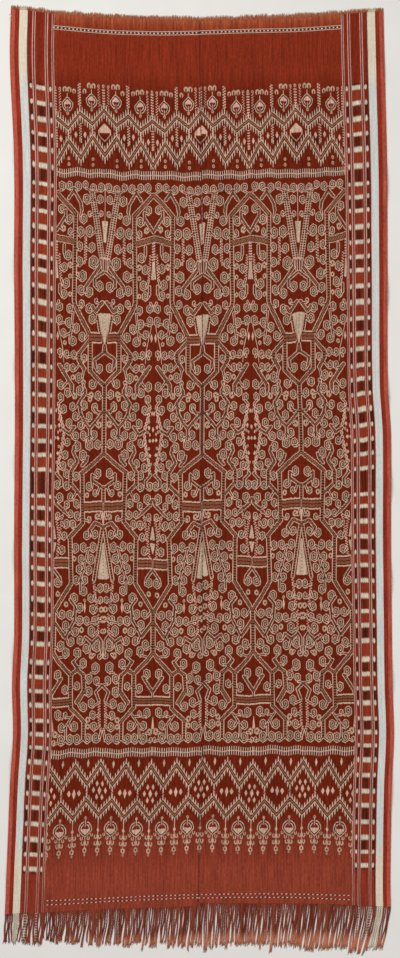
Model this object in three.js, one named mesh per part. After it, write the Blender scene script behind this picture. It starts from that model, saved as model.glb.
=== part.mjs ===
// A warp-ikat blanket lying flat and face up: two hand-loomed panels sewn selvedge to selvedge down the
// middle, with a raw cut edge at the top, twined rows of weft near both ends, and twisted warp ends along
// the foot. Millimetres, +Z up. +Y runs along the warp to the cut edge, and the origin lies under the middle.

import * as THREE from 'three';

// Cloth
const THICKNESS = 1.5;
const PIECE_GAP = 0.3;
const SHEET_ROWS = 38;
const SHEET_COLUMNS = [0, 0.03, 0.08, 0.14, 0.2, 0.28, 0.36, 0.44, 0.52, 0.6, 0.68, 0.76, 0.84, 0.92, 1];

// Soft ripples along the outer selvedges, which die away before the patterned field
const RIPPLE_HEIGHT = 4;
const RIPPLE_LENGTH = 270;
const RIPPLE_REACH = 0.2;

// Twined rows of weft, worked across the field and not over the selvedge stripes
const TWINE_START = 0.235;
const TWINE_WIDTH = { heading: 12, high: 5, low: 5 };
const TWINE_SLOPE = 2.2;
const TWINE_HEIGHT = 0.9;
const TWINE_STATIONS = 20;

// Twisted warp ends at the foot
const FRINGE_BACKING = 6;
const FRINGE_STRANDS = 95;
const STRAND_WIDTH = 3;
const STRAND_HEIGHT = 2.2;
const LONG_STRAND_EXTRA = 14;

// Cut warp ends at the top, in short locks
const FRAY_DEPTH = 12;
const FRAY_BACKING = 3;
const FRAY_LOCKS = 27;
const FRAY_LOCK_SHARE = 0.86;

// Edges of the cloth at places along its length: the two outer selvedges and the seam between the panels
const SIDES = [
  { y: -1134, left: -506, seam: -4, right: 498 },
  { y: -1058, left: -503, seam: -2.5, right: 496.5 },
  { y: -928, left: -498, seam: 0.5, right: 498 },
  { y: -798, left: -493, seam: 5, right: 500.5 },
  { y: -668, left: -485, seam: 9, right: 506 },
  { y: -538, left: -487.5, seam: 10, right: 502 },
  { y: -408, left: -482, seam: 9, right: 500.5 },
  { y: -148, left: -482, seam: 6.5, right: 498 },
  { y: 112, left: -480, seam: 6.5, right: 498 },
  { y: 242, left: -480, seam: 7.5, right: 490 },
  { y: 567, left: -482, seam: 7.5, right: 489 },
  { y: 827, left: -482, seam: 5, right: 487.5 },
  { y: 1087, left: -493, seam: 1, right: 481 },
  { y: 1232, left: -490, seam: -1, right: 478 },
];

// Ends of each panel at places across it, from its outer selvedge (0) to the seam (1): the reach and lean of
// the fringe, the hem, the two twined rows of the foot, the twined row of the heading and the cut edge
const ENDS = {
  left: [
    { across: 0, tips: -1206, lean: -4, hem: -1134, low: -1114, high: -1104, heading: 1179, cut: 1231 },
    { across: 0.09, tips: -1209, lean: -5, hem: -1131, low: -1112, high: -1102, heading: 1176, cut: 1228 },
    { across: 0.22, tips: -1204, lean: -8, hem: -1129, low: -1110, high: -1099, heading: 1172, cut: 1219 },
    { across: 0.5, tips: -1212, lean: -9, hem: -1121, low: -1102, high: -1093, heading: 1160, cut: 1209 },
    { across: 0.75, tips: -1214, lean: -8, hem: -1117, low: -1096, high: -1087, heading: 1156, cut: 1204 },
    { across: 1, tips: -1214, lean: -8, hem: -1113, low: -1091, high: -1083, heading: 1157, cut: 1200 },
  ],
  right: [
    { across: 0, tips: -1226, lean: -22, hem: -1115, low: -1101, high: -1088, heading: 1177, cut: 1224 },
    { across: 0.12, tips: -1229, lean: -21, hem: -1112, low: -1098, high: -1086, heading: 1175, cut: 1222 },
    { across: 0.24, tips: -1225, lean: -18, hem: -1109, low: -1096, high: -1085, heading: 1172, cut: 1216 },
    { across: 0.47, tips: -1216, lean: -12, hem: -1106, low: -1091, high: -1082, heading: 1165, cut: 1209 },
    { across: 0.73, tips: -1212, lean: -9, hem: -1106, low: -1090, high: -1081, heading: 1162, cut: 1204 },
    { across: 1, tips: -1216, lean: -8, hem: -1105, low: -1092, high: -1083, heading: 1158, cut: 1200 },
  ],
};

// Colours and finish
const LOOKS = {
  panel: { color: 0x823422, roughness: 0.92 },
  twine: { color: 0xd9c3a6, roughness: 0.9 },
  fringe: { color: 0x8f4530, roughness: 0.93 },
  fray: { color: 0xa86243, roughness: 0.94 },
};

// Whole numbers give a repeatable unevenness between 0 and 1
function uneven(index, salt) {
  const value = Math.sin(index * 12.9898 + salt * 78.233) * 43758.5453;
  return value - Math.floor(value);
}

// A smooth curve through one column of a table, read at a value of its key column
function through(rows, key, column, at) {
  const last = rows.length - 1;
  const slope = (i) => {
    const before = rows[Math.max(i - 1, 0)];
    const after = rows[Math.min(i + 1, last)];
    return (after[column] - before[column]) / (after[key] - before[key]);
  };
  const inside = Math.min(Math.max(at, rows[0][key]), rows[last][key]);
  let i = 0;
  while (i < last - 1 && inside > rows[i + 1][key]) i += 1;
  const span = rows[i + 1][key] - rows[i][key];
  const t = (inside - rows[i][key]) / span;
  const start = rows[i][column] * (1 + 2 * t) * (1 - t) ** 2 + slope(i) * span * t * (1 - t) ** 2;
  const end = rows[i + 1][column] * (3 - 2 * t) * t ** 2 + slope(i + 1) * span * t ** 2 * (t - 1);
  return start + end;
}

// Place on a panel, across it from the outer selvedge to its edge at the seam
function acrossAt(side, across, y) {
  const toward = side === 'left' ? -1 : 1;
  const selvedge = through(SIDES, 'y', side, y);
  const seamEdge = through(SIDES, 'y', 'seam', y) + toward * PIECE_GAP / 2;
  return selvedge + (seamEdge - selvedge) * across;
}

const endAt = (side, column, across) => through(ENDS[side], 'across', column, across);

const panelTop = (side, across) => endAt(side, 'cut', across) - FRAY_DEPTH;

// Height of the underside above the surface: level, but for the selvedge ripples
function lift(side, across, y) {
  const edge = Math.max(1 - across / RIPPLE_REACH, 0) ** 2;
  const phase = side === 'left' ? 0.6 : 2.1;
  const wave = Math.sin(2 * Math.PI * y / RIPPLE_LENGTH + phase + 0.9 * Math.sin(y / 310));
  const along = Math.max(0, 1 - Math.abs(y / 1150) ** 6);
  return RIPPLE_HEIGHT * edge * along * Math.max(wave, 0) ** 2;
}

// One closed body from points and four-sided faces that run anticlockwise seen from outside
function body(points, quads) {
  const geometry = new THREE.BufferGeometry();
  const index = quads.flatMap(([a, b, c, d]) => [a, b, c, a, c, d]);
  geometry.setAttribute('position', new THREE.Float32BufferAttribute(points.flat(), 3));
  geometry.setIndex(index);
  geometry.computeVertexNormals();
  return geometry;
}

// A closed sheet whose lower and upper faces are read at each column (along +X) and row (along +Y)
function sheet(columns, rows, face) {
  const points = [];
  const quads = [];
  const at = (layer, i, j) => (layer * (rows + 1) + j) * (columns + 1) + i;
  for (let layer = 0; layer < 2; layer += 1) {
    for (let j = 0; j <= rows; j += 1) {
      for (let i = 0; i <= columns; i += 1) points.push(face(layer, i, j));
    }
  }
  for (let j = 0; j < rows; j += 1) {
    for (let i = 0; i < columns; i += 1) {
      quads.push([at(1, i, j), at(1, i + 1, j), at(1, i + 1, j + 1), at(1, i, j + 1)]);
      quads.push([at(0, i, j), at(0, i, j + 1), at(0, i + 1, j + 1), at(0, i + 1, j)]);
    }
  }
  for (let i = 0; i < columns; i += 1) {
    quads.push([at(0, i, 0), at(0, i + 1, 0), at(1, i + 1, 0), at(1, i, 0)]);
    quads.push([at(0, i + 1, rows), at(0, i, rows), at(1, i, rows), at(1, i + 1, rows)]);
  }
  for (let j = 0; j < rows; j += 1) {
    quads.push([at(0, 0, j + 1), at(0, 0, j), at(1, 0, j), at(1, 0, j + 1)]);
    quads.push([at(0, columns, j), at(0, columns, j + 1), at(1, columns, j + 1), at(1, columns, j)]);
  }
  return body(points, quads);
}

// A backing strip with a row of teeth on the right hand of someone who walks along it. Each station is a
// place on the strip, as its back and front points. Each tooth is a list of the sections beyond its root.
function comb(stations, teeth) {
  const points = [];
  const quads = [];
  const corner = { backLow: 0, backTop: 1, frontLow: 2, frontTop: 3 };
  const at = (station, name) => station * 4 + corner[name];
  for (const { back, front } of stations) {
    points.push([...back, 0], [...back, THICKNESS], [...front, 0], [...front, THICKNESS]);
  }
  const last = stations.length - 1;
  for (let s = 0; s < last; s += 1) {
    const n = s + 1;
    quads.push([at(s, 'frontTop'), at(n, 'frontTop'), at(n, 'backTop'), at(s, 'backTop')]);
    quads.push([at(s, 'backLow'), at(n, 'backLow'), at(n, 'frontLow'), at(s, 'frontLow')]);
    quads.push([at(n, 'backLow'), at(s, 'backLow'), at(s, 'backTop'), at(n, 'backTop')]);
    let ring = [at(s, 'frontLow'), at(n, 'frontLow'), at(n, 'frontTop'), at(s, 'frontTop')];
    for (const section of s % 2 === 1 ? teeth[(s - 1) / 2] : []) {
      const next = section.map((point) => points.push(point) - 1);
      for (let e = 0; e < 4; e += 1) quads.push([ring[e], ring[(e + 1) % 4], next[(e + 1) % 4], next[e]]);
      ring = next;
    }
    quads.push(ring);
  }
  quads.push([at(0, 'backLow'), at(0, 'frontLow'), at(0, 'frontTop'), at(0, 'backTop')]);
  quads.push([at(last, 'frontLow'), at(last, 'backLow'), at(last, 'backTop'), at(last, 'frontTop')]);
  return body(points, quads);
}

// Section of a strand or lock: level underneath, narrower on top. It faces the walker of comb.
function section(x, y, width, height, walk) {
  const low = walk * width / 2;
  const top = low * 0.5;
  return [[x - low, y, 0], [x + low, y, 0], [x + top, y, height], [x - top, y, height]];
}

// One loom width of cloth
function panelGeometry(side) {
  const columns = SHEET_COLUMNS.length - 1;
  const face = (layer, i, j) => {
    const across = side === 'left' ? SHEET_COLUMNS[i] : SHEET_COLUMNS[columns - i];
    const hem = endAt(side, 'hem', across);
    const y = hem + (panelTop(side, across) - hem) * j / SHEET_ROWS;
    return [acrossAt(side, across, y), y, lift(side, across, y) + layer * THICKNESS];
  };
  return sheet(columns, SHEET_ROWS, face);
}

// A twined row of weft: a low ridge on the cloth, from the stripes to the seam
function twineGeometry(side, row) {
  const face = (layer, i, j) => {
    const step = side === 'left' ? i : TWINE_STATIONS - i;
    const across = TWINE_START + (0.995 - TWINE_START) * step / TWINE_STATIONS;
    const middle = endAt(side, row, across);
    const width = TWINE_WIDTH[row] - layer * TWINE_SLOPE;
    const z = THICKNESS + PIECE_GAP + layer * TWINE_HEIGHT;
    return [acrossAt(side, across, middle), middle + width * (j - 0.5), z];
  };
  return sheet(TWINE_STATIONS, 1, face);
}

// Strands of the fringe gather in uneven groups, so each strand is listed with the middle of its group
function strandGroups() {
  const strands = [];
  for (let group = 0; strands.length < FRINGE_STRANDS; group += 1) {
    const first = strands.length;
    const count = Math.min(3 + Math.floor(5 * uneven(group, 1)), FRINGE_STRANDS - first);
    const middle = (first + (count - 1) / 2 + 0.5) / FRINGE_STRANDS;
    for (let k = 0; k < count; k += 1) {
      strands.push({ group, middle, place: (first + k + 0.5) / FRINGE_STRANDS });
    }
  }
  return strands;
}

// Sections of one twisted strand, from the backing to its tip. Places run from the left end of the hem.
function strandSections(side, strand, index, rootX, rootY, middleX) {
  const across = side === 'left' ? strand.place : 1 - strand.place;
  const salt = side === 'left' ? 0 : 10;
  const lean = endAt(side, 'lean', across) + 6 * (uneven(strand.group, salt + 3) - 0.5);
  const gather = 0.3 + 0.25 * uneven(strand.group, salt + 4);
  const long = uneven(index, salt + 7) > 0.97 ? LONG_STRAND_EXTRA : 0;
  const ragged = 12 * (uneven(index, salt + 5) - 0.5) + 8 * (uneven(strand.group, salt + 6) - 0.5);
  const tipX = rootX + lean + gather * (middleX - rootX);
  const tipY = endAt(side, 'tips', across) + ragged - long;
  const shape = [
    { t: 0.3, width: 0.88, height: 1 },
    { t: 0.65, width: 0.78, height: 1 },
    { t: 1, width: 0.5, height: 0.55 },
  ];
  return shape.map(({ t, width, height }) => {
    const x = rootX + (tipX - rootX) * t ** 1.3;
    const y = rootY + (tipY - rootY) * t;
    return section(x, y, STRAND_WIDTH * width, STRAND_HEIGHT * height, 1);
  });
}

// The twisted warp ends of one panel, on a narrow strip along its hem
function fringeGeometry(side) {
  const station = (place) => {
    const across = side === 'left' ? place : 1 - place;
    const hem = endAt(side, 'hem', across) - PIECE_GAP;
    const x = acrossAt(side, across, hem);
    return { back: [x, hem], front: [x, hem - FRINGE_BACKING] };
  };
  const half = STRAND_WIDTH / 2 / (SIDES[0].right - SIDES[0].seam);
  const strands = strandGroups();
  const stations = [station(0)];
  const teeth = [];
  strands.forEach((strand, index) => {
    const [x, y] = station(strand.place).front;
    const middleX = station(strand.middle).front[0];
    stations.push(station(strand.place - half), station(strand.place + half));
    teeth.push(strandSections(side, strand, index, x, y, middleX));
  });
  stations.push(station(1));
  return comb(stations, teeth);
}

// The cut warp ends of one panel, on a narrow strip along its top. Places run from the panel's right end.
function frayGeometry(side) {
  const station = (place) => {
    const across = side === 'left' ? 1 - place : place;
    const edge = panelTop(side, across) + PIECE_GAP;
    const x = acrossAt(side, across, edge);
    return { back: [x, edge], front: [x, edge + FRAY_BACKING] };
  };
  const salt = side === 'left' ? 20 : 30;
  const pitch = 1 / FRAY_LOCKS;
  const lockWidth = pitch * FRAY_LOCK_SHARE * (SIDES[0].right - SIDES[0].seam);
  const stations = [station(0)];
  const teeth = [];
  for (let lock = 0; lock < FRAY_LOCKS; lock += 1) {
    const place = (lock + 0.5) * pitch;
    const half = pitch * FRAY_LOCK_SHARE / 2;
    const [x, y] = station(place).front;
    const reach = 4.5 + 6.5 * uneven(lock, salt);
    const tipX = x + 3 * (uneven(lock, salt + 1) - 0.5);
    const tipWidth = lockWidth * (0.5 + 0.35 * uneven(lock, salt + 2));
    stations.push(station(place - half), station(place + half));
    teeth.push([
      section(x, y + reach * 0.5, lockWidth * 0.94, THICKNESS * 0.9, -1),
      section(tipX, y + reach, tipWidth, THICKNESS * 0.5, -1),
    ]);
  }
  stations.push(station(1));
  return comb(stations, teeth);
}

function piece(name, geometry, look) {
  const mesh = new THREE.Mesh(geometry, new THREE.MeshStandardMaterial({ ...look, metalness: 0 }));
  mesh.name = name;
  return mesh;
}

const blanket = new THREE.Group();
for (const side of ['left', 'right']) {
  blanket.add(piece(`panel_${side}`, panelGeometry(side), LOOKS.panel));
  blanket.add(piece(`twined_heading_${side}`, twineGeometry(side, 'heading'), LOOKS.twine));
  blanket.add(piece(`twined_foot_high_${side}`, twineGeometry(side, 'high'), LOOKS.twine));
  blanket.add(piece(`twined_foot_low_${side}`, twineGeometry(side, 'low'), LOOKS.twine));
  blanket.add(piece(`fringe_${side}`, fringeGeometry(side), LOOKS.fringe));
  blanket.add(piece(`fray_${side}`, frayGeometry(side), LOOKS.fray));
}

export default blanket;
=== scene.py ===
"""Looks of a warp-ikat blanket that lies flat and face up: two hand-loomed panels sewn down the middle.

Sizes are in millimetres, as in the part's source, and become metres when a mesh is made. The tied design is a
chart of traditional figures on a grid of ties. Across counts ties from the axis of the spears (0) to the
axis of the trees (24), where the design turns back on itself. Down counts ties from the cut end to the foot.
"""

import math
from functools import reduce
from itertools import chain

import bpy
import numpy as np
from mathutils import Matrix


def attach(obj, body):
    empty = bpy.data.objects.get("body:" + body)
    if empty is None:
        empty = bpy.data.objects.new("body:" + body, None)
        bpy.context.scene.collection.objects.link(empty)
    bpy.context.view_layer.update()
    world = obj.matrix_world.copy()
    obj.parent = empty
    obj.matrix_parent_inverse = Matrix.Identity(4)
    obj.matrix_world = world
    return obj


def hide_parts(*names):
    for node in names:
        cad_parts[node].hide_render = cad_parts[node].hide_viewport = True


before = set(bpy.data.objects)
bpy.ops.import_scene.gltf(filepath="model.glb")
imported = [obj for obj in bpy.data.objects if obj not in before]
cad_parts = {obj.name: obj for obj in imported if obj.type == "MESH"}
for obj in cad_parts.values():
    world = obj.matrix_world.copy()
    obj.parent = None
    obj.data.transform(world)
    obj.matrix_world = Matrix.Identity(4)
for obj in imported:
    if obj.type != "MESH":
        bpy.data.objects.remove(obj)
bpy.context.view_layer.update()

MM = 0.001
SIDES_OF_CLOTH = ("left", "right")

# Cloth
THICKNESS = 1.5
SHARP_ANGLE = 40
PIECE_GAP = 0.3
FLOOR_CLEARANCE = 0.02
FRAY_DEPTH = 12.0
RIPPLE_HEIGHT = 4.0
RIPPLE_LENGTH = 270.0
RIPPLE_REACH = 0.2
RIPPLE_START = {"left": 0.6, "right": 2.1}
RIPPLE_DRIFT = 0.9
RIPPLE_DRIFT_LENGTH = 310.0
RIPPLE_END = 1150.0
COCKLE_HEIGHT = 0.35
EDGE_CALM = 30.0
SLOW_WANDER = 1.6
QUICK_WANDER = 1.0
WANDER_START = {"left": 0.0, "right": 1.9}

# Edges of the cloth at places along its length: the two outer selvedges and the seam between the panels
EDGES = {
    "y": [-1134, -1058, -928, -798, -668, -538, -408, -148, 112, 242, 567, 827, 1087, 1232],
    "left": [-506, -503, -498, -493, -485, -487.5, -482, -482, -480, -480, -482, -482, -493, -490],
    "seam": [-4, -2.5, 0.5, 5, 9, 10, 9, 6.5, 6.5, 7.5, 7.5, 5, 1, -1],
    "right": [498, 496.5, 498, 500.5, 506, 502, 500.5, 498, 498, 490, 489, 487.5, 481, 478],
}

# Ends of each panel at places across it, from its outer selvedge (0) to the seam (1)
ENDS = {
    "left": {
        "across": [0, 0.09, 0.22, 0.5, 0.75, 1],
        "tips": [-1206, -1209, -1204, -1212, -1214, -1214],
        "lean": [-4, -5, -8, -9, -8, -8],
        "hem": [-1134, -1131, -1129, -1121, -1117, -1113],
        "low": [-1114, -1112, -1110, -1102, -1096, -1091],
        "high": [-1104, -1102, -1099, -1093, -1087, -1083],
        "heading": [1179, 1176, 1172, 1160, 1156, 1157],
        "cut": [1231, 1228, 1219, 1209, 1204, 1200],
    },
    "right": {
        "across": [0, 0.12, 0.24, 0.47, 0.73, 1],
        "tips": [-1226, -1229, -1225, -1216, -1212, -1216],
        "lean": [-22, -21, -18, -12, -9, -8],
        "hem": [-1115, -1112, -1109, -1106, -1106, -1105],
        "low": [-1101, -1098, -1096, -1091, -1090, -1092],
        "high": [-1088, -1086, -1085, -1082, -1081, -1083],
        "heading": [1177, 1175, 1172, 1165, 1162, 1158],
        "cut": [1224, 1222, 1216, 1209, 1204, 1200],
    },
}

# Chart of the tied design, in ties
HALF_REPEAT = 24.0
FIELD_TIES = 72.0
STRIPE_TIES = 20.0
TIED_ROWS = 390.0
TIED_TOP = -4.0
CLOTH_TOP = -34.35
CLOTH_FOOT = 413.55
STRIPE_COLUMNS = 12
FIELD_COLUMNS = 96
END_ROWS = 6
FIELD_EDGE = {"v": [0.057, 0.57, 0.95], "share": [0.2015, 0.216, 0.234]}

# How far the picks have slipped up the warp, at the selvedge and at the seam
SLIP_ROWS = [0, 0.07, 0.13, 0.2, 0.27, 0.38, 0.5, 0.6, 0.74, 0.785, 0.82, 0.9, 1]
PICK_SLIP = {
    "left": {
        "v": SLIP_ROWS,
        "selvedge": [0, 6, 5, 2, 0, 0, 2, 2, 1, 3, -2, -5, 0],
        "seam": [0, 4, 0, -2, -5, -5, -2, 0, 0, 3, -3, -5, 0],
    },
    "right": {
        "v": SLIP_ROWS,
        "selvedge": [0, -5, -5, -7, -7, -5, -2, 0, 0, 4, -4, -5, 0],
        "seam": [0, -3, -5, -5, -5, -3, -2, 0, 0, 5, 0, -2, 0],
    },
}

# Scrolls: how far across, how far down, half height
SCROLLS = [
    (21.5, 50.5, 2.5), (17.5, 50.5, 2.4), (13.5, 51, 2.5), (9.5, 50, 2.2), (6, 51.5, 2.4), (2, 51, 2.5),
    (9, 57.5, 2.7), (2.5, 57.5, 2.4), (21.5, 62.5, 2.3), (7.5, 65, 1.7), (2, 65, 1.7), (10.5, 67.5, 2.6),
    (17.5, 68, 2.5), (20.5, 72.5, 1.4), (17, 74, 2), (12, 74, 2.6), (7.5, 73.5, 2.8), (12.5, 81, 2.4),
    (6.5, 81.5, 2.5), (18, 85.5, 2.5), (12.5, 88.5, 2.5), (5.5, 89, 3.2), (17, 90.5, 1.4), (20, 91.5, 2.4),
    (11, 95.5, 2.8), (13.5, 95, 1.1), (17, 96, 1.1), (19, 99.5, 2.6), (2.5, 101, 2.6), (11.5, 102.5, 2.6),
    (7.5, 104, 2.6), (20, 105, 2.4), (17, 105, 1.1), (4, 108.5, 1.6), (11.5, 109.5, 2.2), (22, 111.5, 2.4),
    (17, 112, 2.3), (7.5, 112, 2.6), (6, 117.5, 2.5), (22, 118, 2.5), (17.5, 119, 2.5), (14, 121.5, 2.5),
    (20, 124.5, 2.3), (11, 126, 2.5), (15.5, 128, 2.6), (19.5, 129.5, 1), (22, 134.5, 2), (18.5, 135, 2.2),
    (15, 135, 2.3), (10, 137, 2.1), (18.5, 141.5, 2.2), (15.5, 141.5, 2.3), (2.5, 142, 2.4),
    (12.5, 146.5, 2.7), (15.5, 146.5, 1.2), (10, 149.5, 1.6), (6, 150, 2.4), (21.5, 150.5, 2.5),
    (12, 153, 2.5), (18, 154, 2.4), (6.5, 155.5, 1.4), (3, 155.5, 2.4), (14.5, 156, 1.4), (21.5, 157, 2.2),
    (7, 157.5, 1.2), (10, 160.5, 2.4), (15.5, 161, 2.3), (4.5, 161.5, 2.4), (20, 162.5, 2.3),
    (14, 166, 2.3), (7.5, 166, 2.4), (17, 169.5, 2.4), (2.5, 170.5, 1.5), (11.5, 170.5, 2.3), (5, 175, 2.4),
    (10, 175.5, 2.4), (14, 176, 2.4), (18, 179, 2.2), (7, 180, 2.7), (3, 180, 2.4), (13, 181, 2.5),
    (10, 185.5, 2.7), (19, 185.5, 2.3), (16, 189.5, 2.2), (20, 191, 2.3), (3, 194.5, 2.5), (18, 195, 2.4),
    (13.5, 196, 2.3), (7, 200.5, 2.4), (22.5, 200.5, 2.3), (18, 201, 2.3), (4, 204, 2), (8, 205, 1.2),
    (16, 206.5, 2.3), (21.5, 207, 2.6), (13, 209.5, 2.3), (18, 210.5, 2.1), (16, 215, 2.1),
    (12.5, 215.5, 2.3), (3, 216, 1.4), (22, 216, 2), (7, 217, 1.8), (18, 220, 2.4), (14.5, 220, 2.3),
    (4, 224.5, 2.3), (8, 225, 2.4), (19, 226, 2.2), (5, 231, 2.5), (9.5, 231, 2.4), (13.5, 231.5, 2.5),
    (20, 233, 2.3), (10.5, 237, 2.4), (6, 237, 2.6), (14, 237, 1.2), (11.5, 242, 2.4), (7, 242.5, 2.4),
    (13, 247.5, 2.4), (9, 247.5, 2.3), (22, 249, 2.6), (1.5, 251, 2.3), (9.5, 253, 2.5), (22, 255, 1.2),
    (6, 256.5, 2.3), (14, 257, 2.7), (1.5, 257, 1.9), (18, 260, 1.2), (11.5, 261.5, 2.5), (5, 262, 2.4),
    (1, 262, 1.3), (20, 265, 2.4), (16, 265, 2.5), (0.5, 267, 1.5), (4, 267.5, 2.3), (8, 268, 2.3),
    (11.5, 268, 2.5), (18, 270.5, 2.5), (5.5, 273, 2.7), (10.5, 273, 1.3), (0.5, 273, 1.1),
    (13.5, 273.5, 2.4), (11, 278, 2.4), (15.5, 278.5, 2.4), (3, 280.5, 2.7), (20.5, 280.5, 2.6),
    (8, 282, 2.5), (18, 284, 2.6), (12.5, 284.5, 2.6), (5.5, 285.5, 1.4), (1.5, 285.5, 1.9),
    (9.5, 289.5, 2.5), (3.5, 291.5, 2.8), (21, 295, 2.5), (6.5, 297, 2.5), (2.5, 298, 2.3), (12, 301, 2.2),
    (17.5, 302.5, 2.4), (6.5, 303.5, 2.6), (5, 309.5, 2.5), (9, 311.5, 2.5), (21, 315, 2.5),
    (17.5, 315.5, 1.8), (4.5, 315.5, 2.3), (7, 318, 1.3), (19.5, 321.5, 2.4), (13.5, 321.5, 2.6),
    (4, 321.5, 2.4), (7, 321.5, 1.2), (22.5, 325, 1.5), (19.5, 328, 2.7), (15.5, 328, 2.6), (12, 328, 2.6),
    (7, 327.5, 2.6), (3, 327.5, 2.7), (23, 329, 1.6),
]

# Small rings in the field: how far across, how far down, half height
FIELD_RINGS = [
    (9.5, 77, 0.9), (10, 89, 0.9), (9, 258, 0.9), (22, 168, 0.85), (21.5, 173.5, 0.8), (22, 181.5, 0.85),
    (23, 189.5, 0.85),
]

# Ways of filling a band
STEM, HATCH, LADDER, BEADS, CHAIN, KNOTS, SOLID, BAR = range(8)

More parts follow.
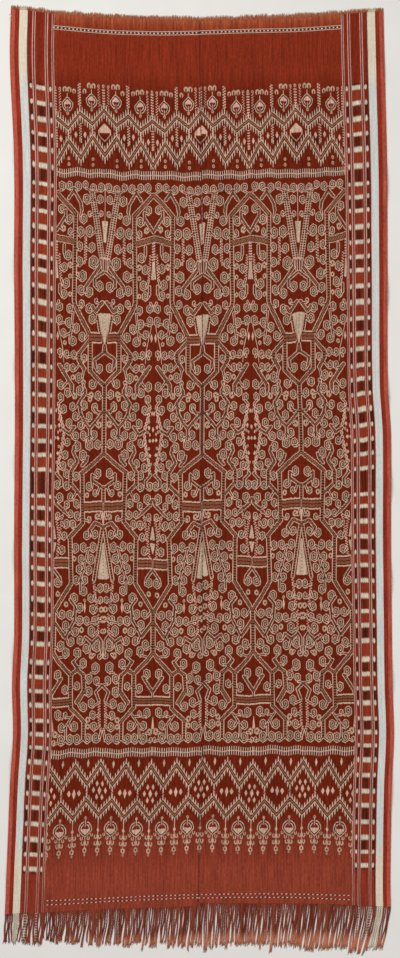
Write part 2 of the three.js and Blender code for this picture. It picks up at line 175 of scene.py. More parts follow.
# Bands: filling, half width, places that the band runs through
BANDS = [
    (HATCH, 1.3, [(24, 54.5), (14.5, 65.5)]),
    (LADDER, 1.0, [(14.5, 65.5), (15, 108), (14.5, 110.5)]),
    (HATCH, 0.9, [(15.5, 52), (15.5, 53.5), (18, 57.5)]),
    (HATCH, 0.9, [(15.5, 53.5), (12, 60), (11.5, 63.5)]),
    (STEM, 0.8, [(19.5, 63.5), (19.5, 66.5)]),
    (HATCH, 0.9, [(19.5, 66.5), (24, 73.5)]),
    (HATCH, 1.7, [(24, 76.8), (15.5, 78.8)]),
    (STEM, 0.8, [(20, 80.5), (20, 84.5)]),
    (CHAIN, 0.8, [(24, 79), (24, 88)]),
    (CHAIN, 0.6, [(22.5, 85), (21.5, 97.5)]),
    (STEM, 0.8, [(22, 100.5), (22, 104.5)]),
    (HATCH, 1.0, [(2.5, 91.5), (9.5, 101.5)]),
    (STEM, 0.85, [(0.5, 94), (5, 97.5), (5, 101)]),
    (SOLID, 0.13, [(0, 52), (0, 69)]),
    (BEADS, 1.5, [(6.5, 53.5), (1.5, 86)]),
    (CHAIN, 0.7, [(9.5, 78), (9.5, 88)]),
    (SOLID, 0.5, [(0, 87), (2.5, 87)]),
    (STEM, 0.6, [(1, 88), (1, 93)]),
    (STEM, 0.6, [(2.5, 88), (2.5, 92)]),
    (STEM, 1.0, [(1, 109), (4.5, 114), (6, 111.5)]),
    (HATCH, 1.2, [(14.5, 110.5), (7.5, 125)]),
    (LADDER, 0.7, [(3.5, 116), (1.5, 129)]),
    (BAR, 2.8, [(1.5, 127), (7.5, 127)]),
    (HATCH, 1.1, [(7.5, 128.5), (12.5, 134.5)]),
    (LADDER, 1.1, [(12.5, 134.5), (12.5, 138)]),
    (HATCH, 1.1, [(12.5, 138), (10, 142.5)]),
    (LADDER, 1.1, [(7, 129.5), (7, 143.5)]),
    (HATCH, 1.1, [(7, 143.5), (0.5, 150.5)]),
    (STEM, 0.9, [(0, 130.5), (0.5, 134.5), (5, 138), (4.5, 141.5)]),
    (LADDER, 1.0, [(0, 150.5), (0, 184.5)]),
    (SOLID, 0.16, [(23, 120.5), (20.5, 132.5), (20, 139.5)]),
    (STEM, 0.6, [(15.5, 114), (16.5, 124)]),
    (HATCH, 1.1, [(22, 141), (16, 150.5), (16, 153)]),
    (HATCH, 0.9, [(9.5, 153), (9.5, 155), (12.5, 159.5)]),
    (STEM, 0.9, [(12.5, 159.5), (11.5, 165), (9.5, 169)]),
    (STEM, 0.8, [(4.5, 162), (3, 164.5)]),
    (HATCH, 0.9, [(0.5, 164), (7, 172), (9.5, 169)]),
    (STEM, 0.8, [(7, 172), (7, 177.5)]),
    (HATCH, 0.9, [(14.5, 171.5), (17, 175), (20, 173)]),
    (KNOTS, 0.8, [
        (22.5, 160.5), (21.5, 166.5), (20.5, 170.5), (19.5, 173), (20, 177.5), (20.5, 181.5), (22, 188.5),
        (22.5, 194.5),
    ]),
    (STEM, 0.9, [(14.5, 181.5), (15, 184), (13, 188.5)]),
    (STEM, 0.9, [(8, 186), (8.5, 188), (10.5, 190.5)]),
    (HATCH, 1.0, [(13, 189), (16, 194)]),
    (LADDER, 1.0, [(16, 194), (16, 200)]),
    (HATCH, 1.0, [(16, 200), (11, 205.5)]),
    (STEM, 0.8, [(23, 195), (20.5, 198), (20.5, 201)]),
    (HATCH, 1.15, [(0, 185), (11, 194.5)]),
    (LADDER, 1.0, [(10.5, 195), (10, 219)]),
    (HATCH, 1.1, [(10, 219), (16.5, 227)]),
    (HATCH, 0.9, [(5.5, 195), (5.5, 198), (1, 201.5)]),
    (LADDER, 0.9, [(0, 201.5), (0, 208.5)]),
    (BAR, 2.8, [(0.5, 211), (9.5, 211)]),
    (HATCH, 0.9, [(23.5, 207.5), (23, 210), (18.5, 214.5)]),
    (STEM, 0.6, [(1, 214), (1.5, 217)]),
    (HATCH, 1.0, [(0, 221), (4, 219), (6.5, 222.5)]),
    (CHAIN, 0.6, [(23, 217), (22, 222), (21.5, 228), (22, 233), (22.5, 238)]),
    (CHAIN, 0.55, [(19.5, 215), (20.5, 220), (21, 225)]),
    (LADDER, 1.0, [(16, 227.5), (15.5, 249.5)]),
    (HATCH, 1.1, [(15.5, 249.5), (24, 264)]),
    (LADDER, 0.8, [(0.5, 222), (4.5, 247.5)]),
    (CHAIN, 0.6, [(4.5, 248.5), (4, 255), (3, 262)]),
    (STEM, 0.6, [(7, 231.5), (8.5, 237.5), (9.5, 242), (11, 247), (11, 251)]),
    (BAR, 2.8, [(17, 239.5), (23.5, 239.5)]),
    (STEM, 0.8, [(24, 242.5), (21, 247)]),
    (STEM, 0.8, [(16, 257.5), (13.5, 261), (14, 268), (18, 276)]),
    (CHAIN, 0.55, [(2.5, 264.5), (2.5, 275)]),
    (STEM, 0.9, [(2.5, 276), (5.5, 279), (8.5, 276.5)]),
    (STEM, 0.8, [(2.5, 275.5), (1, 278), (1, 281.5)]),
    (HATCH, 1.0, [(24, 268.5), (18.5, 276.5)]),
    (LADDER, 1.1, [(24, 264.5), (24, 283.5)]),
    (HATCH, 1.1, [(24, 284), (21.5, 288), (15, 295.5)]),
    (HATCH, 1.0, [(14, 289), (11.5, 293)]),
    (HATCH, 1.1, [(15, 295.5), (12, 293), (9, 295.5)]),
    (LADDER, 1.0, [(9, 295.5), (8.5, 303.5)]),
    (HATCH, 1.2, [(8.5, 303.5), (12, 309.5)]),
    (LADDER, 1.0, [(15, 296), (15, 311.5)]),
    (HATCH, 0.9, [(19.5, 297), (24, 304.5)]),
    (STEM, 0.6, [(24, 304), (24, 307)]),
    (STEM, 0.8, [(0, 300.5), (3, 304), (1.5, 308.5)]),
    (CHAIN, 0.65, [(1.5, 308.5), (1.5, 321.5), (0.5, 324)]),
    (BAR, 2.5, [(15.5, 309), (24, 309)]),
    (HATCH, 1.1, [(15, 312.5), (8.5, 319.5)]),
    (LADDER, 0.9, [(9, 320), (9, 328)]),
    (STEM, 0.6, [(14, 316), (17.5, 321.5), (17.5, 329)]),
]

# Solid shapes that taper: half width at the first place, half width at the second, the two places
TAPERS = [
    (1.55, 0.6, [(0, 69), (0, 79)]),
    (0.6, 1.35, [(24, 88.5), (24, 97)]),
    (0.1, 0.7, [(24, 317.5), (24, 323.5)]),
    (3.0, 0.1, [(0, 115), (0, 131)]),
    (0.35, 2.9, [(0, 229), (0, 246.5)]),
    (0.8, 0.15, [(0, 214), (0, 221)]),
    (0.15, 1.3, [(24, 221), (24, 227.5)]),
    (1.4, 0.1, [(24, 229.5), (24, 234.5)]),
]

# Lozenges: how far across, how far down, half width, half height
LOZENGE_POINT = 0.05
LOZENGES = [
    (23, 126.5, 0.6, 2.2), (9, 261.5, 0.55, 2.7), (24, 172, 0.6, 1.3), (22.5, 174.5, 0.4, 0.9),
    (24, 177.5, 0.6, 1.0), (23.5, 164, 0.5, 1.2), (22, 171, 0.7, 1.2), (22.5, 177.5, 0.8, 1.0),
    (22.5, 185, 0.8, 1.0),
]

# Figures that the end borders repeat on two sets of axes: offset of a pair, place down, half height
AXIS_GAP = 6.0
MIDDLE_PEAK = 2 * AXIS_GAP
PEAK_AXES = (0.0, MIDDLE_PEAK, 4 * AXIS_GAP)
VALLEY_AXES = (AXIS_GAP, 3 * AXIS_GAP)
HEAD_TILT = 0.2
FOOT_TILT = 0.05
HEAD_HOUSE = (0, 22.5, 4.7)
HEAD_DROP = (5.6, 3.7)
HEAD_CURLS = [(1.1, -1.6, 1.55)]
HEAD_RINGS = [(10.2, 0.9)]
HEAD_KNOTS = [(36.5, 0.95), (39.4, 1.0)]
HEAD_FLEUR = [(2.6, 2.6, 1.4)]
HEAD_CROWN = [(0, -0.8, 0.85), (2.4, -0.6, 0.85)]
HEAD_BUD = [(24.8, 0.9)]
FOOT_DROP = (374.0, 4.15)
FOOT_CURLS = [(3.1, 376.6, 1.0), (1.6, 378.4, 1.1), (0.95, 380.9, 1.3)]
FOOT_RINGS = [(368.3, 0.85), (384.4, 1.45), (386.5, 0.6)]
FOOT_PAIRS = [(0.95, 377.9, 1.3), (0.95, 381.2, 1.3)]
FOOT_TAILS = [(384.7, 1.45), (386.8, 0.6)]

# Chains under the crowns at the head: half width, offset at the top and at the foot, place of the foot
CROWN_FOOT = 0.5
CROWN_CHAINS = [(0.7, 0, 0, 9.5), (0.5, -2.4, -2.2, 9), (0.5, 2.4, 2.2, 9)]

# Zigzags, as level, tilt and reach, and combs of the end borders
TOOTH_PITCH = 1.2
TOOTH_LENGTH = 2.7
TOOTH_SHORTER_AT_FOOT = 0.6
TICK_PITCH = 1.1
TICK_LENGTH = 2.2
COMB_CLEAR = 3.0
COMB_DRAWN = 0.35
ZIGZAG_CREAM = (0.7, 1.06)
ZIGZAG_DARK = (0.28, 0.76)
ZIGZAG_TAN = 0.6
ZIGZAGS = [(14.25, 0.21, 3.05), (28.95, 0.2, -5.05), (345.65, 0.09, 4.95), (362.6, 0.12, -4.0)]
COMB_PLACES = (43.8, 335.1)
FIELD_MIDDLE = 190.0

# Kinds of scroll
SPIRAL, RING, DROP, HOUSE = range(4)

# Scrolls: six-sided norm, size under which one is a ring, turn of the coil, and the stem that carries it
SCROLL_SIDE = 1.5
DROP_SIDE = 1.32
SCROLL_SHOULDER = 0.72
SCROLL_POINTS = 0.8
SCROLL_SWELL = 1.27
RING_SIZE = 1.95
COIL_PITCH = 0.88
COIL_LEAD = 0.13
DROP_LINE = (0.42, 1.0)
STEM_REACH = 3.6
STEM_OVERLAP = 0.6
STEM_WIDTH = 0.62
MOUTH_DEPTH = 0.9
TAIL_BACK = 1.2
TAIL_OUT = 0.7
STEMMED_SIZE = 1.7
NO_PLACE = (-900.0, -900.0, 0.1)
NO_RUN = (1, 0, 1)

# Fillings of bands, and how softly a tied shape ends
DOT_PITCH = 1.2
CHAIN_PITCH = 1.35
KNOT_PITCH = 1.75
WIDE_DOT_PITCH = 1.7
BAND_RIM = 0.4
BAR_RIM = 0.76
BAND_LINE = 0.3
CRISP = 0.14
SOFT = 0.2

# Selvedge stripes, as shares of their width from the outer edge, and the ovals, as middles and half widths
WHITE_PART = (0.2, 0.372)
RED_PARTS = (0.41, 1.0)
WIDE_PART = (0.58, 0.775)
HEART_PART = (0.605, 0.76)
NARROW_PARTS = ((0.41, 0.495), (0.866, 0.926))
OVAL_PLACES = ((0.459, 0.03), (0.897, 0.024))
OVAL_LENGTH = 0.16
STRIPE_EDGE = 0.004

# Tied dashes, counted from the fold, which lie closer or wider in places: where, over how far, by how much
DASH_PITCH = 7.47
DASH_FOLD = 200.05
DASH_COUNT = 26.3
DASH_SLANT = 0.9
DASH_STRETCH = (0.991, 0.018)
DASH_GATHERS = [(6, 8.0, 2.0), (84, 16.0, -1.7), (122, 16.0, 1.0), (160, 20.0, -1.6)]
UPPER_GATHER = (160, 20.0, -1.2)

# Yarn
YARNS_PER_TIE = 8.5
PICKS_PER_TIE = 3.1
BUNDLE_YARNS = 4
YARN_SLIP = 0.6
BUNDLE_SLIP = 0.5
YARN_RELIEF = 0.00022
YARN_SALT = 1777
BUNDLE_SALT = 571

# Grain of the cloth, as streaks, slubs, bands and blotches: patches in a metre across and along, and detail
GRAIN = [(240, 14, 1.0), (300, 110, 0.0), (42, 0.7, 2.0), (26, 9, 2.0)]

# Where the dyes change along the warp, in ties, and over how many
HEAD_FADE = (-2, 12.0)
FOOT_FADE = (380, 30.0)
BLEACH = (-27, 10.0)
CREAM_HEAD = (-1, 10.0)
CREAM_FOOT = (384, 14.0)
PLAIN_FOOT = (396, 10.0)

# Twisted yarns: length of one turn, depth of the relief in metres, and shares of the panel's width in white
FRINGE_PLY = (9.0, 0.0006)
FRAY_PLY = (3.0, 0.0002)
WEFT_PLY = (2.5, 0.0003)
FRINGE_WHITE_PART = (0.041, 0.076)
FRINGE_LINE_PARTS = ((0.098, 0.114), (0.156, 0.172))
FRAY_WHITE_PART = (0.046, 0.085)

# Twined rows, and their lines: offset, cover of the pitch, width, slant
TWINE_START = {"heading": 0.226, "high": 0.213, "low": 0.213}
TWINE_END = 1.0
HEADING_PITCH = 9.9
HEADING_LINES = [(0.0, 0.9, 4.6, 0.0), (4.3, 0.98, 2.6, 0.22), (-4.3, 0.98, 2.6, -0.22)]
FOOT_PITCH = 11.4
FOOT_LINES = [(0.0, 0.86, 2.9, 0.25)]

# Sewing of the seam
SEAM_PITCH = 13.0
SEAM_STITCH = 7.0
SEAM_SLANT = 0.25
SEAM_CLEAR = 6.0
SEAM_THREAD = 1.5
SEAM_RISE = 0.8
SEAM_SINK = 0.1

# Fringe and frayed ends
FRINGE_BACKING = 6.0
FRINGE_STRANDS = 95
GROUP_LEAST = 3
GROUP_SPREAD = 5
LONG_STRAND_EXTRA = 14.0
TALLEST_STRAND = 2.4
FRAY_ENDS = 380
FRAY_LOCKS = 27

# Camera, floor and lamps, in metres; a lamp has its name, size, place, turn and power
LENS = 100.0
SENSOR = 36.0
FRAME_HEIGHT = 2.491
FRAME_MIDDLE = (0.0013, -0.0026)
FLOOR_HALF = 6.0
FLOOR_DROP = 0.0004
SURROUND = 0.35
LAMPS = [
    ("key_lamp", 2.6, (-2.2, 1.6, 3.4), (-0.42, -0.58, 0.0), 120),
    ("fill_lamp", 3.0, (2.2, -1.4, 3.6), (0.36, 0.55, 0.0), 60),
]


def dye(red, green, blue):
    """A dye's colour from its display values of 0 to 255, as light."""
    shown = np.array([red, green, blue]) / 255
    light = np.where(shown <= 0.04045, shown / 12.92, ((shown + 0.055) / 1.055) ** 2.4)
    return (*light.tolist(), 1.0)


# Dyes
GROUND = dye(106, 33, 15)
HEAD_GROUND = dye(132, 46, 26)
FOOT_GROUND = dye(144, 62, 44)
BLEACHED = dye(167, 86, 55)
STRIPE_RED = dye(128, 42, 24)
UNDYED = dye(204, 165, 143)
COIL_TAN = dye(186, 150, 124)
DARK_DYE = dye(46, 18, 11)
TAN_DYE = dye(152, 97, 70)
SPEAR_WHITE = dye(192, 166, 142)
SELVEDGE_PALE = dye(176, 82, 64)
SELVEDGE_RED = dye(142, 47, 30)
WHITE_STRIPE = dye(205, 208, 203)
CREAM_STRIPE = dye(220, 208, 183)
PINK_LINE = dye(192, 146, 132)
MAUVE_LINE = dye(108, 46, 36)
DASH_CREAM = dye(206, 194, 172)
DASH_DARK = dye(78, 29, 19)
DASH_ORANGE = dye(138, 53, 30)
FRINGE_BROWN = dye(122, 50, 34)
FRINGE_RUST = dye(158, 78, 56)
FRINGE_WHITE = dye(228, 216, 190)
FRINGE_SPECK = dye(196, 172, 150)
FRINGE_TIP = dye(210, 130, 96)
FRINGE_SHADOW = dye(60, 26, 18)
FRAY_RUST = dye(158, 84, 55)
FRAY_TAN = dye(192, 122, 88)
FRAY_WHITE = dye(208, 196, 168)
FRAY_TIP = dye(212, 158, 124)
WEFT_PALE = dye(240, 214, 192)
WEFT_DARK = dye(44, 20, 14)
THREAD_PALE = dye(120, 62, 44)
THREAD_DARK = dye(70, 28, 19)
PLY_SHADOW = dye(120, 82, 64)
FLOOR_GREY = dye(226, 223, 217)
FLOOR_PALE = dye(232, 229, 224)


def uneven(index, salt):
    """Repeatable unevenness between 0 and 1: the fraction left by a large multiple of a sine."""
    value = np.sin(np.asarray(index) * 12.9898 + salt * 78.233) * 43758.5453
    return value - np.floor(value)


def swing(index, salt):
    """Repeatable unevenness between -0.5 and 0.5."""
    return uneven(index, salt) - 0.5


def through(table, key, column, at):
    """A smooth curve through one column of a table, read at values of its key column. Each span is a cubic
    whose slopes at its ends are those between the rows on either side."""
    keys, values = [np.array(table[name], dtype=float) for name in (key, column)]
    order = np.arange(len(keys))
    last = np.maximum(order - 1, 0)
    following = np.minimum(order + 1, len(keys) - 1)
    slopes = (values[following] - values[last]) / (keys[following] - keys[last])
    inside = np.clip(at, keys[0], keys[-1])
    i = np.clip(np.searchsorted(keys, inside) - 1, 0, len(keys) - 2)
    span = keys[i + 1] - keys[i]
    t = (inside - keys[i]) / span
    start = values[i] * (1 + 2 * t) * (1 - t) ** 2 + slopes[i] * span * t * (1 - t) ** 2
    end = values[i + 1] * (3 - 2 * t) * t ** 2 + slopes[i + 1] * span * t ** 2 * (t - 1)
    return start + end


def across_at(side, across, y):
    """Place on a panel: a straight share of the way from the outer selvedge to the edge at the seam."""
    toward = -1 if side == "left" else 1
    selvedge = through(EDGES, "y", side, y)
    seam_edge = through(EDGES, "y", "seam", y) + toward * PIECE_GAP / 2
    return selvedge + (seam_edge - selvedge) * across


def end_at(side, column, across):
    """Reading of one column of a panel's ends."""
    return through(ENDS[side], "across", column, across)


def lift(side, across, y):
    """Height of the underside: a squared sine along the outer selvedge, which dies away across the panel and
    towards its ends."""
    edge = np.maximum(1 - across / RIPPLE_REACH, 0) ** 2
    drift = RIPPLE_DRIFT * np.sin(y / RIPPLE_DRIFT_LENGTH)
    wave = np.sin(2 * np.pi * y / RIPPLE_LENGTH + RIPPLE_START[side] + drift)
    along = np.maximum(0, 1 - np.abs(y / RIPPLE_END) ** 6)
    return RIPPLE_HEIGHT * edge * along * np.maximum(wave, 0) ** 2


def lay_piece(name, points, faces, finish, nodes):
    """A mesh from points in millimetres and blocks of faces that share a number of corners, set on the CAD
    body and given its finish. Returns the object."""
    mesh = bpy.data.meshes.new(name)
    corners = list(chain.from_iterable(block.reshape(-1, block.shape[-1]).tolist() for block in faces))
    mesh.from_pydata((np.asarray(points).reshape(-1, 3) * MM).tolist(), [], corners)
    mesh.polygons.foreach_set("use_smooth", np.full(len(mesh.polygons), True))
    mesh.materials.append(finish.material)
    mesh.update()
    piece = bpy.data.objects.new(name, mesh)
    bpy.context.scene.collection.objects.link(piece)
    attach(piece, "root")
    if nodes:
        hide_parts(*nodes)
    return piece


def note_on_faces(piece, name, values):
    """Writes three numbers for each face into the piece's own attribute."""
    attribute = piece.data.attributes.new(name, "FLOAT_VECTOR", "FACE")
    attribute.data.foreach_set("vector", np.ascontiguousarray(values, dtype=np.float32).ravel())


def note_on_points(piece, name, places):
    """Writes two numbers for each point into the piece's own map."""
    mesh = piece.data
    which = np.empty(len(mesh.loops), dtype=np.int32)
    mesh.loops.foreach_get("vertex_index", which)
    layer = mesh.uv_layers.new(name=name)
    layer.data.foreach_set("uv", np.asarray(places, dtype=np.float32).reshape(-1, 2)[which].ravel())


def operator(operation, turned=False):
    """An operator of a wire: one Math node, with its two values turned round in the reflected form."""
    def apply(wire, other):
        return wire.finish.math(operation, *((other, wire) if turned else (wire, other)))
    return apply


class Wire:
    """One value in a finish. Sums and products of wires, or of wires and plain numbers, add Math nodes."""

    def __init__(self, finish, socket):
        self.finish = finish
        self.socket = socket

    __add__ = __radd__ = operator("ADD")
    __mul__ = __rmul__ = operator("MULTIPLY")
    __sub__ = operator("SUBTRACT")
    __rsub__ = operator("SUBTRACT", turned=True)
    __truediv__ = operator("DIVIDE")
    __rtruediv__ = operator("DIVIDE", turned=True)
    __mod__ = operator("FLOORED_MODULO")
    __rmod__ = operator("FLOORED_MODULO", turned=True)

    def __abs__(self):
        return self.finish.math("ABSOLUTE", self)


class Finish:
    """One material: a Principled shader and the nodes that feed it."""

    def __init__(self, name, **constants):
        self.material = bpy.data.materials.new(name)
        self.material.use_nodes = True
        self.tree = self.material.node_tree
        self.shader = self.tree.nodes["Principled BSDF"]
        for socket, value in constants.items():
            self.shader.inputs[socket.replace("_", " ")].default_value = value

    def node(self, kind, settings, sockets, output=0):
        """Any node: its type, its settings, then the values or links of its sockets."""
        made = self.tree.nodes.new(kind)
        for name, value in settings.items():
            if name == "stops":
                self.set_stops(made.color_ramp, value)
            else:
                setattr(made, name, value)
        for key, value in sockets.items():
            if isinstance(value, Wire):
                self.tree.links.new(value.socket, made.inputs[key])
            else:
                made.inputs[key].default_value = value
        return Wire(self, made.outputs[output])

    def set_stops(self, ramp, stops):
        """Stops of a ramp that holds each colour up to the next stop."""
        ramp.interpolation = "CONSTANT"
        while len(ramp.elements) < len(stops):
            ramp.elements.new(1.0)
        for element, (place, colour) in zip(ramp.elements, stops):
            element.position = place
            element.color = colour

    def math(self, operation, *values, clamp=False):
        """A Math node, with its result kept between 0 and 1 where that is asked for."""
        settings = {"operation": operation, "use_clamp": clamp}
        return self.node("ShaderNodeMath", settings, dict(enumerate(values)))

    def parts(self, vector):
        """The three numbers of a vector."""
        made = self.node("ShaderNodeSeparateXYZ", {}, {0: vector}).socket.node
        return [Wire(self, socket) for socket in made.outputs]

    def place(self, *numbers):
        """A vector from three numbers."""
        return self.node("ShaderNodeCombineXYZ", {}, dict(enumerate(numbers)))

    def noted(self, name):
        """A vector that the piece carries on its faces."""
        return self.node("ShaderNodeAttribute", {"attribute_name": name}, {}, 1)

    def map_place(self, name):
        """The two numbers of the piece's own map."""
        return self.parts(self.node("ShaderNodeUVMap", {"uv_map": name}, {}))[:2]

    def object_place(self):
        """The place on the object in plan, in metres."""
        return self.parts(self.node("ShaderNodeTexCoord", {}, {}, 3))[:2]

    def noise(self, x, y, detail=0.0):
        """Noise between 0 and 1 in two dimensions."""
        sockets = {"Vector": self.place(x, y, 0.0), "Scale": 1.0, "Detail": detail}
        return self.node("ShaderNodeTexNoise", {"noise_dimensions": "2D"}, sockets)

    def chance(self, value):
        """One number between 0 and 1 for each value."""
        return self.node("ShaderNodeTexWhiteNoise", {"noise_dimensions": "1D"}, {"W": value})

    def feed(self, socket, value):
        """Links a value to a socket of the shader."""
        self.tree.links.new(value.socket, self.shader.inputs[socket])

    def relief(self, height, depth):
        """Feeds a bump of the given depth in metres."""
        sockets = {"Height": height, "Distance": depth, "Strength": 1.0}
        self.feed("Normal", self.node("ShaderNodeBump", {}, sockets))


def mask(value, soft):
    """1 where the wire's value is above zero and 0 where it is below, with a soft change between."""
    return value.finish.math("MULTIPLY_ADD", value, 1 / soft, 0.5, clamp=True)


def after(value, place, over):
    """1 where the value is past a place, with the change spread over a distance."""
    return mask(value - place, over)


def band(value, low, high, soft):
    """1 where the value lies between two others."""
    return mask(value - low, soft) * mask(high - value, soft)


def least(first, second):
    """The smaller of two values, the first of them a wire."""
    return first.finish.math("MINIMUM", first, second)


def most(first, second):
    """The larger of two values, the first of them a wire."""
    return first.finish.math("MAXIMUM", first, second)


def hypot(first, second):
    """Length of a step with two parts square to each other."""
    return first.finish.math("SQRT", first * first + second * second)


def whole(value):
    """The whole number below a value."""
    return value.finish.math("FLOOR", value)


def same(value, number):
    """1 where the value is the given whole number."""
    return value.finish.math("COMPARE", value, number, 0.4)


def off_middle(value):
    """How far a value is from the middle of its unit step."""
    return abs(value % 1.0 - 0.5)


def mix(share, first, second):
    """A blend of two colours by a wire's share of the second."""
    sockets = {0: share, 6: first, 7: second}
    return share.finish.node("ShaderNodeMix", {"data_type": "RGBA"}, sockets, 2)


def chart_scrolls():
    """All scrolls, rings, drops and houses of one half repeat, one row each: across, down, half height, kind
    and which way up. Border figures stand on the axes of the peaks and the valleys, mirrored to both sides of
    each, and sink a little from axis to axis."""
    rows = [(across, down, size * SCROLL_SWELL, SPIRAL, 1) for across, down, size in SCROLLS]
    rows += [(*place, RING, 1) for place in FIELD_RINGS]
    rows += [(*HEAD_HOUSE, HOUSE, 1)]

    def stand(axis, figures, kind, tilt, way=1):
        """Figures on one axis, given as place down and size, or as offset, place down and size for a pair."""
        for *offset, down, size in figures:
            sides = (-offset[0], offset[0]) if offset else (0,)
            rows.extend((axis + side, down + tilt * axis, size, kind, way) for side in sides)

    for axis in VALLEY_AXES:
        stand(axis, [HEAD_DROP], DROP, HEAD_TILT)
        stand(axis, HEAD_CURLS, SPIRAL, HEAD_TILT)
        stand(axis, HEAD_RINGS, RING, HEAD_TILT)
        stand(axis, HEAD_KNOTS, RING, 0)
        stand(axis, [FOOT_DROP], DROP, FOOT_TILT, -1)
        stand(axis, FOOT_CURLS, SPIRAL, FOOT_TILT)
        stand(axis, FOOT_RINGS, RING, FOOT_TILT)
    for axis in PEAK_AXES:
        stand(axis, FOOT_PAIRS, SPIRAL, FOOT_TILT)
        stand(axis, FOOT_TAILS, RING, FOOT_TILT)
        if axis == MIDDLE_PEAK:
            stand(axis, HEAD_FLEUR, SPIRAL, 0)
        else:
            stand(axis, HEAD_CROWN, RING, HEAD_TILT / 2)
        if axis > 0:
            stand(axis, HEAD_BUD, RING, HEAD_TILT)
    return np.array(rows, dtype=float)


def lozenge(across, down, half_width, half_height):
    """Two tapers that meet at the widest place of a lozenge."""
    top, middle, foot = [(across, down + rise) for rise in (-half_height, 0, half_height)]
    return [(LOZENGE_POINT, half_width, [top, middle]), (half_width, LOZENGE_POINT, [middle, foot])]


def border_bands():
    """Bands and tapers of the two end borders. A figure stands on an axis, or as a pair on both sides of it,
    and sinks by its tilt from axis to axis."""
    bands = []
    tapers = []

    def upright(axis, filling, half, top, foot, tilt=0.0):
        """A band down the axis."""
        sink = tilt * axis
        bands.append((filling, half, [(axis, top + sink), (axis, foot + sink)]))

    def lozenges(axis, offset, down, half_width, half_height, tilt=0.0):
        """A lozenge on the axis, or a pair beside it."""
        for side in (-offset, offset) if offset else (0,):
            tapers.extend(lozenge(axis + side, down + tilt * axis, half_width, half_height))

    for axis in PEAK_AXES:
        upright(axis, SOLID, 0.15, 369.5, 384, FOOT_TILT)
        lozenges(axis, 0, 374.5, 0.65, 1.4, FOOT_TILT)
        if axis > 0:
            upright(axis, CHAIN, 0.65, 16.5, 26, HEAD_TILT)
            lozenges(axis, 2.25, 22, 0.75, 1.7, HEAD_TILT)
        if axis == MIDDLE_PEAK:
            upright(axis, CHAIN, 0.75, -1, 9.5)
            lozenges(axis, 0, 355.8, 0.85, 2.5)
            lozenges(axis, 2.35, 355.6, 0.95, 1.6)
            continue
        sink = HEAD_TILT * axis
        for half, top_side, foot_side, foot in CROWN_CHAINS:
            top = (axis + top_side, CROWN_FOOT + sink / 2)
            bands.append((CHAIN, half, [top, (axis + foot_side, foot + sink)]))
        lozenges(axis, 0, 354.3, 0.9, 2.1, 2 * FOOT_TILT)
        lozenges(axis, 2.8, 354.2, 0.7, 1.6, 2 * FOOT_TILT)
        lozenges(axis, 1.25, 350.9, 0.7, 1.5, 2 * FOOT_TILT)
        lozenges(axis, 1.25, 357.7, 0.7, 1.5, 2 * FOOT_TILT)
    for axis in VALLEY_AXES:
        upright(axis, CHAIN, 0.55, 18.6, 23.4, HEAD_TILT)
        upright(axis, CHAIN, 0.45, 354.2, 357.6)
        upright(axis, SOLID, 0.15, 0.2, 2.4, HEAD_TILT)
        upright(axis, SOLID, 0.12, 6.6, 9.6, HEAD_TILT)
        upright(axis, SOLID, 0.15, 369, 373)
        upright(axis, SOLID, 0.12, 378, 383.5)
        lozenges(axis, 0, 340.6, 0.6, 2.0)
    return bands, tapers


def chart_strokes():
    """All straight runs of one half repeat, one row each: start across, start down, half width, direction
    across, direction down, length, filling, and the shares of the half width at the start and at the end."""
    more_bands, more_tapers = border_bands()
    rows = []
    for filling, half, places in BANDS + more_bands:
        rows += [(*a, *b, half, filling, 1, 1) for a, b in zip(places[:-1], places[1:])]
    tapers = TAPERS + more_tapers + list(chain.from_iterable(lozenge(*row) for row in LOZENGES))
    for start, end, (a, b) in tapers:
        half = max(start, end)
        rows += [(*a, *b, half, SOLID, start / half, end / half)]
    return as_strokes(np.array(rows, dtype=float))


def as_strokes(rows):
    """Rows of two places, half width, filling and taper, with the second place as a direction and length."""
    run = rows[:, 2:4] - rows[:, 0:2]
    length = np.linalg.norm(run, axis=1, keepdims=True)
    return np.hstack([rows[:, 0:2], rows[:, 4:5], run / length, length, rows[:, 5:8]])


def scroll_reach(across, down, side):
    """Norm of a scroll: four parts of a six-sided figure, upright on its point, to one part of an ellipse."""
    six_sided = np.maximum(np.abs(across) * side, np.abs(down) + np.abs(across) * SCROLL_SHOULDER)
    return SCROLL_POINTS * six_sided + (1 - SCROLL_POINTS) * np.hypot(across * side, down)


def nearest_on_strokes(places, strokes):
    """For each place and stroke, the nearest point of the stroke's middle line."""
    offset = places[:, None, :] - strokes[None, :, 0:2]
    along = np.clip((offset * strokes[None, :, 3:5]).sum(axis=-1), 0, strokes[:, 5])
    return strokes[None, :, 0:2] + along[..., None] * strokes[None, :, 3:5]


